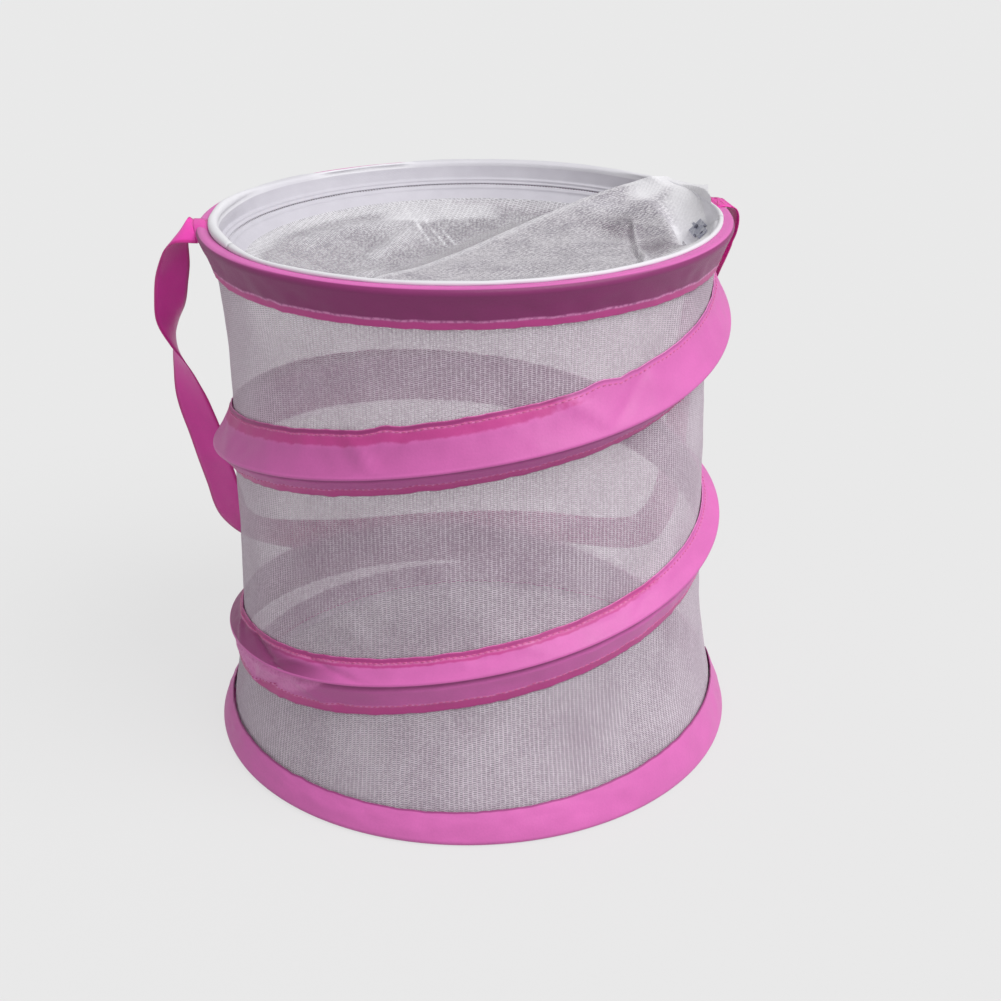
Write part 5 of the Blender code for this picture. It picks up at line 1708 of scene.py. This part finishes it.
@dataclass
class Strap:
    """The ribbon and its two sewn ends."""

    width: float = 0.022
    thickness: float = 0.0006
    angle: float = 7.5
    end_radius: float = 0.1490
    end_height: float = 0.30955
    squashed: float = 0.17
    columns: int = 9
    steps: int = 8
    tab_rows: int = 12
    tab_path: tuple[Pair, ...] = (
        (0.1406, 0.30985), (0.1436, 0.31025), (0.1455, 0.31020), (0.1478, 0.30985), (0.1488, 0.30955))
    stitch_box: tuple[Pair, ...] = (
        (0.1420, -1), (0.1458, -1), (0.1458, 1), (0.1420, 1), (0.1420, -1), (0.1458, 1))
    stitch_height: float = 0.3106
    route: tuple[tuple[float, float, float, Triple], ...] = (
        (187.0, 1.070, 1.004, (0.0, 1.0, 0.0)),
        (185.0, 1.098, 0.983, (0.35, 1.0, 0.0)),
        (182.5, 1.119, 0.950, (0.65, 1.0, 0.0)),
        (180.0, 1.141, 0.908, (0.85, 0.75, 0.0)),
        (178.0, 1.164, 0.865, (0.85, 0.85, 0.0)),
        (176.0, 1.185, 0.821, (0.62, 1.0, 0.0)),
        (174.3, 1.191, 0.776, (0.0, 1.0, 0.0)),
        (172.5, 1.191, 0.730, (-0.55, 1.0, 0.0)),
        (170.5, 1.186, 0.679, (-1.0, 0.7, 0.0)),
        (168.3, 1.181, 0.617, (-1.0, 0.15, 0.0)),
        (166.5, 1.158, 0.547, (-1.0, 0.0, 0.0)),
        (164.5, 1.146, 0.479, (-1.0, 0.0, 0.0)),
        (161.5, 1.145, 0.409, (-1.0, 0.0, 0.12)),
        (157.0, 1.150, 0.322, (-0.9, 0.0, 0.4)),
        (150.0, 1.110, 0.262, (-0.62, 0.0, 0.78)),
        (139.0, 1.073, 0.214, (-0.2, 0.0, 1.0)),
        (126.0, 1.056, 0.178, (0.0, 0.0, 1.0)),
        (110.0, 1.050, 0.159, (0.0, 0.0, 1.0)),
        (90.0, 1.050, 0.152, (0.0, 0.0, 1.0)),
        (72.0, 1.050, 0.160, (0.0, 0.0, 1.0)),
        (57.0, 1.050, 0.170, (0.0, 0.0, 1.0)),
        (46.0, 1.050, 0.192, (0.0, 0.2, 1.0)),
        (38.5, 1.050, 0.230, (0.0, 0.5, 0.85)),
        (33.5, 1.050, 0.292, (0.0, 0.8, 0.55)),
        (30.5, 1.050, 0.376, (0.0, 0.9, 0.25)),
        (28.8, 1.050, 0.472, (0.0, 1.0, 0.1)),
        (27.6, 1.050, 0.570, (0.0, 1.0, 0.0)),
        (26.2, 1.050, 0.664, (0.0, 1.0, 0.0)),
        (24.2, 1.051, 0.750, (0.0, 1.0, 0.1)),
        (21.2, 1.053, 0.822, (0.0, 1.0, 0.25)),
        (17.2, 1.056, 0.878, (0.0, 1.0, 0.35)),
        (13.2, 1.058, 0.920, (0.0, 1.0, 0.3)),
        (10.2, 1.060, 0.952, (0.0, 1.0, 0.12)),
        (7.9, 1.060, 0.980, (0.0, 1.0, 0.0)))

    def knots(self) -> tuple[list[Array], list[Array]]:
        """The ribbon's knots, and the way that its width points at each."""
        end = (self.end_radius / FORM.top_wire_radius, self.end_height / FORM.top_wire_height,
               (0.0, 1.0, 0.0))
        spots, lays = [], []
        for angle, radius, height, lay in ((self.angle + 180, *end), *self.route, (self.angle, *end)):
            outwards, around = directions(angle)
            up = np.array((0.0, 0.0, 1.0))
            spots.append(outwards * radius * FORM.top_wire_radius + up * height * FORM.top_wire_height)
            lay_way = outwards * lay[0] + around * lay[1] + up * lay[2]
            lays.append(lay_way / np.linalg.norm(lay_way))
        return spots, lays

    def build_ribbon(self) -> None:
        """Make the ribbon."""
        spots, lays = self.knots()
        count = (len(spots) - 1) * self.steps
        path = np.array([spline(spots, index / self.steps) for index in range(count + 1)])
        widths = np.array([spline(lays, index / self.steps) for index in range(count + 1)])
        points = np.zeros((count + 1, self.columns, 3))
        uv = np.zeros((count + 1, self.columns, 2))
        seam = np.zeros((count + 1, self.columns))
        run = 0.0
        for index in range(count + 1):
            along = path[min(index + 1, count)] - path[max(index - 1, 0)]
            along = along / np.linalg.norm(along)
            if index in (0, count):
                level = np.cross(widths[index], (0.0, 0.0, 1.0))
                along = level if np.dot(level, along) > 0 else -level
            across = widths[index] - along * np.dot(widths[index], along)
            across = across / np.linalg.norm(across)
            square = np.cross(along, across)
            run += float(np.linalg.norm(path[index] - path[index - 1])) if index else 0.0
            for column in range(self.columns):
                side = 2 * column / (self.columns - 1) - 1
                free = min(index, count - index, 12)
                cup = 0.0011 * (side ** 2 - 0.4) * drift(run * 14, 0.0, 0.0, 61.0) * free / 12
                wave = 0.0007 * drift(run * 42, side * 1.3, 0.0, 62.0) * free / 12
                points[index, column] = path[index] + across * side * self.width / 2 + square * (cup + wave)
                uv[index, column] = (run, side * self.width / 2)
                seam[index, column] = 0.9 * smoothstep(0.80, 0.95, abs(side))
        self.soften_end(points, End.LEFT)
        self.soften_end(points, End.RIGHT)
        ribbon = cloth_grid("carry_ribbon", points, uv, marks={"seam": seam})
        thicken(ribbon, self.thickness, 0.0)
        finish_with(ribbon, PINK_RIBBON)
        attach(ribbon, "strap")
        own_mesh(ribbon)
        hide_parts("carry_strap")
        LOG.info("carry strap: %.3f m of ribbon", run)

    def tab_row(self, end: End, radius: float, height: float) -> tuple[Array, Array]:
        """A row of points across a sewn end: the left one lies slanting, and droops at its front.

        Args:
            end: The sewn end.
            radius: How far out the row lies.
            height: Its height.

        Returns:
            The points, from one edge to the other, and the way in which the ribbon leaves the row.
        """
        left = end is End.LEFT
        outwards, sideways = directions(self.angle + (180 if left else 0))
        stretch, shift, slant = (1.24, 0.0034, 0.62) if left else (1.0, 0.0, 0.0)
        row = []
        for column in range(self.columns):
            share = 2 * column / (self.columns - 1) - 1
            aside = share * self.width / 2 * stretch + shift - slant * (radius - 0.1406)
            droop = 0.55 * max(share + 0.2, 0.0) ** 1.5 * (radius - 0.1400) if left else 0.0
            level = outwards * (radius - 0.4 * droop) + sideways * aside
            row.append(level + np.array((0.0, 0.0, height - droop)))
        return np.array(row), outwards - sideways * slant - np.array((0.0, 0.0, 0.10))

    def soften_end(self, points: Array, end: End, rows: int = 12) -> None:
        """Let the ribbon leave a sewn end in one smooth bend.

        Args:
            points: The ribbon's points, which are changed.
            end: The end that is softened.
            rows: How many rows from the end the bend takes.
        """
        order = points if end is End.LEFT else points[::-1]
        start, way = self.tab_row(end, self.end_radius, self.end_height)
        if math.dist(start[0], order[0][0]) > math.dist(start[-1], order[0][0]):
            start = start[::-1]
        stop, onwards = order[rows].copy(), (order[rows + 1] - order[rows - 1]) * rows / 2
        leap = np.linalg.norm(stop - start, axis=1)[:, None]
        way = way / np.linalg.norm(way) * leap
        for row in range(rows):
            order[row] = hermite(row / rows, start, way, stop, onwards)

    def build_tab(self, end: End, rows: SmallRow) -> None:
        """Make one sewn end, laid over the top ring, with its box of stitches."""
        name = "left" if end is End.LEFT else "right"
        angle = self.angle + (180 if end is End.LEFT else 0)
        path = resample(np.array(self.tab_path), self.tab_rows)
        points = np.array([self.tab_row(end, radius, height)[0] for radius, height in path.tolist()])
        uv = np.zeros((self.tab_rows, self.columns, 2))
        for row in range(self.tab_rows):
            for column in range(self.columns):
                share = 2 * column / (self.columns - 1) - 1
                points[row, column, 2] += 0.00025 * drift(row * 0.4, column * 0.5, angle, 63.0)
                uv[row, column] = (path[row, 0], share * self.width / 2)
        tab = cloth_grid(f"strap_end_{name}", points, uv, flip=True, marks={"seam": np.zeros(uv.shape[:2])})
        thicken(tab, self.thickness, 0.0)
        finish_with(tab, PINK_RIBBON)
        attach(tab, "top")
        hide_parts(f"strap_tab_{name}")
        run = []
        for radius, side in self.stitch_box:
            row, _ = self.tab_row(end, radius, self.stitch_height)
            run.append(row[0] + (row[-1] - row[0]) * (0.5 + side * (self.width / 2 - 0.003) / self.width))
        fine = resample(np.array(run), 60)
        upwards = np.tile((0.0, 0.0, 1.0), (60, 1))
        stitches = rows.along(f"strap_stitches_{name}", [(fine, upwards)], 0.0028, (0.0021, 0.0006, 0.0005),
                              PINK_THREAD)
        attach(stitches, "top")


# Carried-over nodes

@dataclass
class Hardware:
    """The rigid CAD pieces that stay as they are, each with its finish."""

    finishes: tuple[tuple[str, object], ...] = (
        ("top_ring_wire", SPRING_STEEL), ("bottom_ring_wire", SPRING_STEEL),
        ("top_ring_crimp", CRIMP_METAL), ("bottom_ring_crimp", CRIMP_METAL),
        ("spiral_tip_lower", TIP_PLASTIC), ("spiral_tip_upper", TIP_PLASTIC),
        ("zip_stop_right", NYLON), ("zip_stop_left", NYLON),
        ("zip_slider", SLIDER_METAL), ("zip_pull", SLIDER_METAL), ("floor_seam_tape", WHITE_TAPE))
    rounded: tuple[str, ...] = ("zip_slider", "zip_pull", "zip_stop_right", "zip_stop_left")

    def dress(self) -> None:
        """Give each node its material, and round the edges of the small castings."""
        for name, finish in self.finishes:
            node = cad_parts[name]
            node.data.materials.clear()
            node.data.materials.append(material_of(finish))
            if name in self.rounded:
                edges = node.modifiers.new("rounded edges", "BEVEL")
                edges.width = 0.00018
                edges.segments = 2
                edges.limit_method = "ANGLE"


# Studio

@dataclass
class Studio:
    """Floor, light and camera."""

    camera_place: Triple = (0.0, -0.8085, 0.5046)
    pitch: float = 24.566
    yaw: float = -1.277
    roll: float = -0.390
    focal_pixels: float = 1474.9
    picture_pixels: float = 1001.0
    floor_half: float = 14.0
    floor_level: float = -0.0004
    floor_colour: Colour = (0.77, 0.77, 0.77)
    floor_glow: Colour = (0.82, 0.82, 0.82)
    glow_share: float = 0.84
    floor_unseen: Colour = (0.45, 0.45, 0.45)
    sky: float = 0.46
    sun: float = 2.25
    sun_from: Triple = (0.50, -0.34, 0.80)
    sun_spread: float = 40.0

    def build_floor(self) -> None:
        """A wide pale floor, darker to the light that it throws back at the cage."""
        mesh = bpy.data.meshes.new("studio_floor")
        corners = [(x * self.floor_half, y * self.floor_half, self.floor_level)
                   for x, y in ((-1, -1), (1, -1), (1, 1), (-1, 1))]
        mesh.from_pydata(corners, [], [(0, 1, 2, 3)])
        floor = new_object("studio_floor", mesh)
        board = Board("studio floor")
        board.tree.nodes.remove(board.shader)
        shaded = board.node("ShaderNodeBsdfDiffuse", {"Color": (*self.floor_colour, 1.0)})
        unseen = board.node("ShaderNodeBsdfDiffuse", {"Color": (*self.floor_unseen, 1.0)})
        glow = board.node("ShaderNodeEmission", {"Color": (*self.floor_glow, 1.0)})
        seen = board.node("ShaderNodeMixShader",
                          {0: self.glow_share, 1: shaded.outputs[0], 2: glow.outputs[0]})
        path = board.node("ShaderNodeLightPath")
        mirrored = board.maths("MAXIMUM", path.outputs["Is Glossy Ray"], path.outputs["Is Transmission Ray"])
        looks = board.maths("MAXIMUM", path.outputs["Is Camera Ray"], mirrored)
        mixed = board.node("ShaderNodeMixShader", {0: looks, 1: unseen.outputs[0], 2: seen.outputs[0]})
        board.join(mixed.outputs[0], board.tree.nodes["Material Output"].inputs["Surface"])
        mesh.materials.append(board.material)

    def build_light(self) -> None:
        """An even sky, and one broad lamp from the upper right."""
        world = bpy.data.worlds.new("studio sky")
        bpy.context.scene.world = world
        world.use_nodes = True
        back = world.node_tree.nodes["Background"]
        back.inputs["Color"].default_value = (1.0, 1.0, 1.0, 1.0)
        path = world.node_tree.nodes.new("ShaderNodeLightPath")
        level = world.node_tree.nodes.new("ShaderNodeMapRange")
        level.inputs["To Min"].default_value = self.sky
        level.inputs["To Max"].default_value = self.floor_glow[0]
        world.node_tree.links.new(path.outputs["Is Camera Ray"], level.inputs["Value"])
        world.node_tree.links.new(level.outputs["Result"], back.inputs["Strength"])
        lamp = bpy.data.lights.new("broad lamp", "SUN")
        lamp.energy = self.sun
        lamp.angle = math.radians(self.sun_spread)
        holder = bpy.data.objects.new("broad lamp", lamp)
        bpy.context.scene.collection.objects.link(holder)
        holder.rotation_euler = Vector(self.sun_from).to_track_quat("Z", "Y").to_euler()

    def build_camera(self) -> None:
        """The camera at the photograph's place."""
        pitch, yaw, roll = (math.radians(value) for value in (self.pitch, self.yaw, self.roll))
        ahead = Vector((-math.sin(yaw) * math.cos(pitch), math.cos(yaw) * math.cos(pitch), -math.sin(pitch)))
        level = Vector((math.cos(yaw), math.sin(yaw), 0.0))
        upright = level.cross(ahead)
        right = level * math.cos(roll) + upright * math.sin(roll)
        up = upright * math.cos(roll) - level * math.sin(roll)
        data = bpy.data.cameras.new("camera")
        data.sensor_width = 36.0
        data.lens = 36.0 * self.focal_pixels / self.picture_pixels
        data.clip_end = 100.0
        camera = bpy.data.objects.new("camera", data)
        bpy.context.scene.collection.objects.link(camera)
        turned = Matrix((right, up, -ahead)).transposed().to_4x4()
        turned.translation = self.camera_place
        camera.matrix_world = turned
        bpy.context.scene.camera = camera

    def build(self) -> None:
        """Set up the whole studio."""
        self.build_floor()
        self.build_light()
        self.build_camera()
        view = bpy.context.scene.view_settings
        view.view_transform = "Standard"


def main() -> None:
    """Build every piece in order."""
    logging.basicConfig(level=logging.INFO, format="%(name)s: %(message)s")
    Studio().build()
    rows = SmallRow()
    wall = NetWall()
    wall.build_wall()
    wall.build_seam()
    wall.build_floor()
    sleeves = Sleeves(rows)
    sleeves.build_spiral()
    sleeves.build_ring(BOTTOM_RING)
    sleeves.build_ring(TOP_RING)
    sleeves.build_stitches()
    SpiralWire().build()
    lid = Lid(rows)
    lid.build_net()
    lid.build_overlap()
    lid.build_tapes()
    lid.build_teeth()
    strap = Strap()
    strap.build_ribbon()
    strap.build_tab(End.LEFT, rows)
    strap.build_tab(End.RIGHT, rows)
    Hardware().dress()


if __name__ == "__main__":
    main()
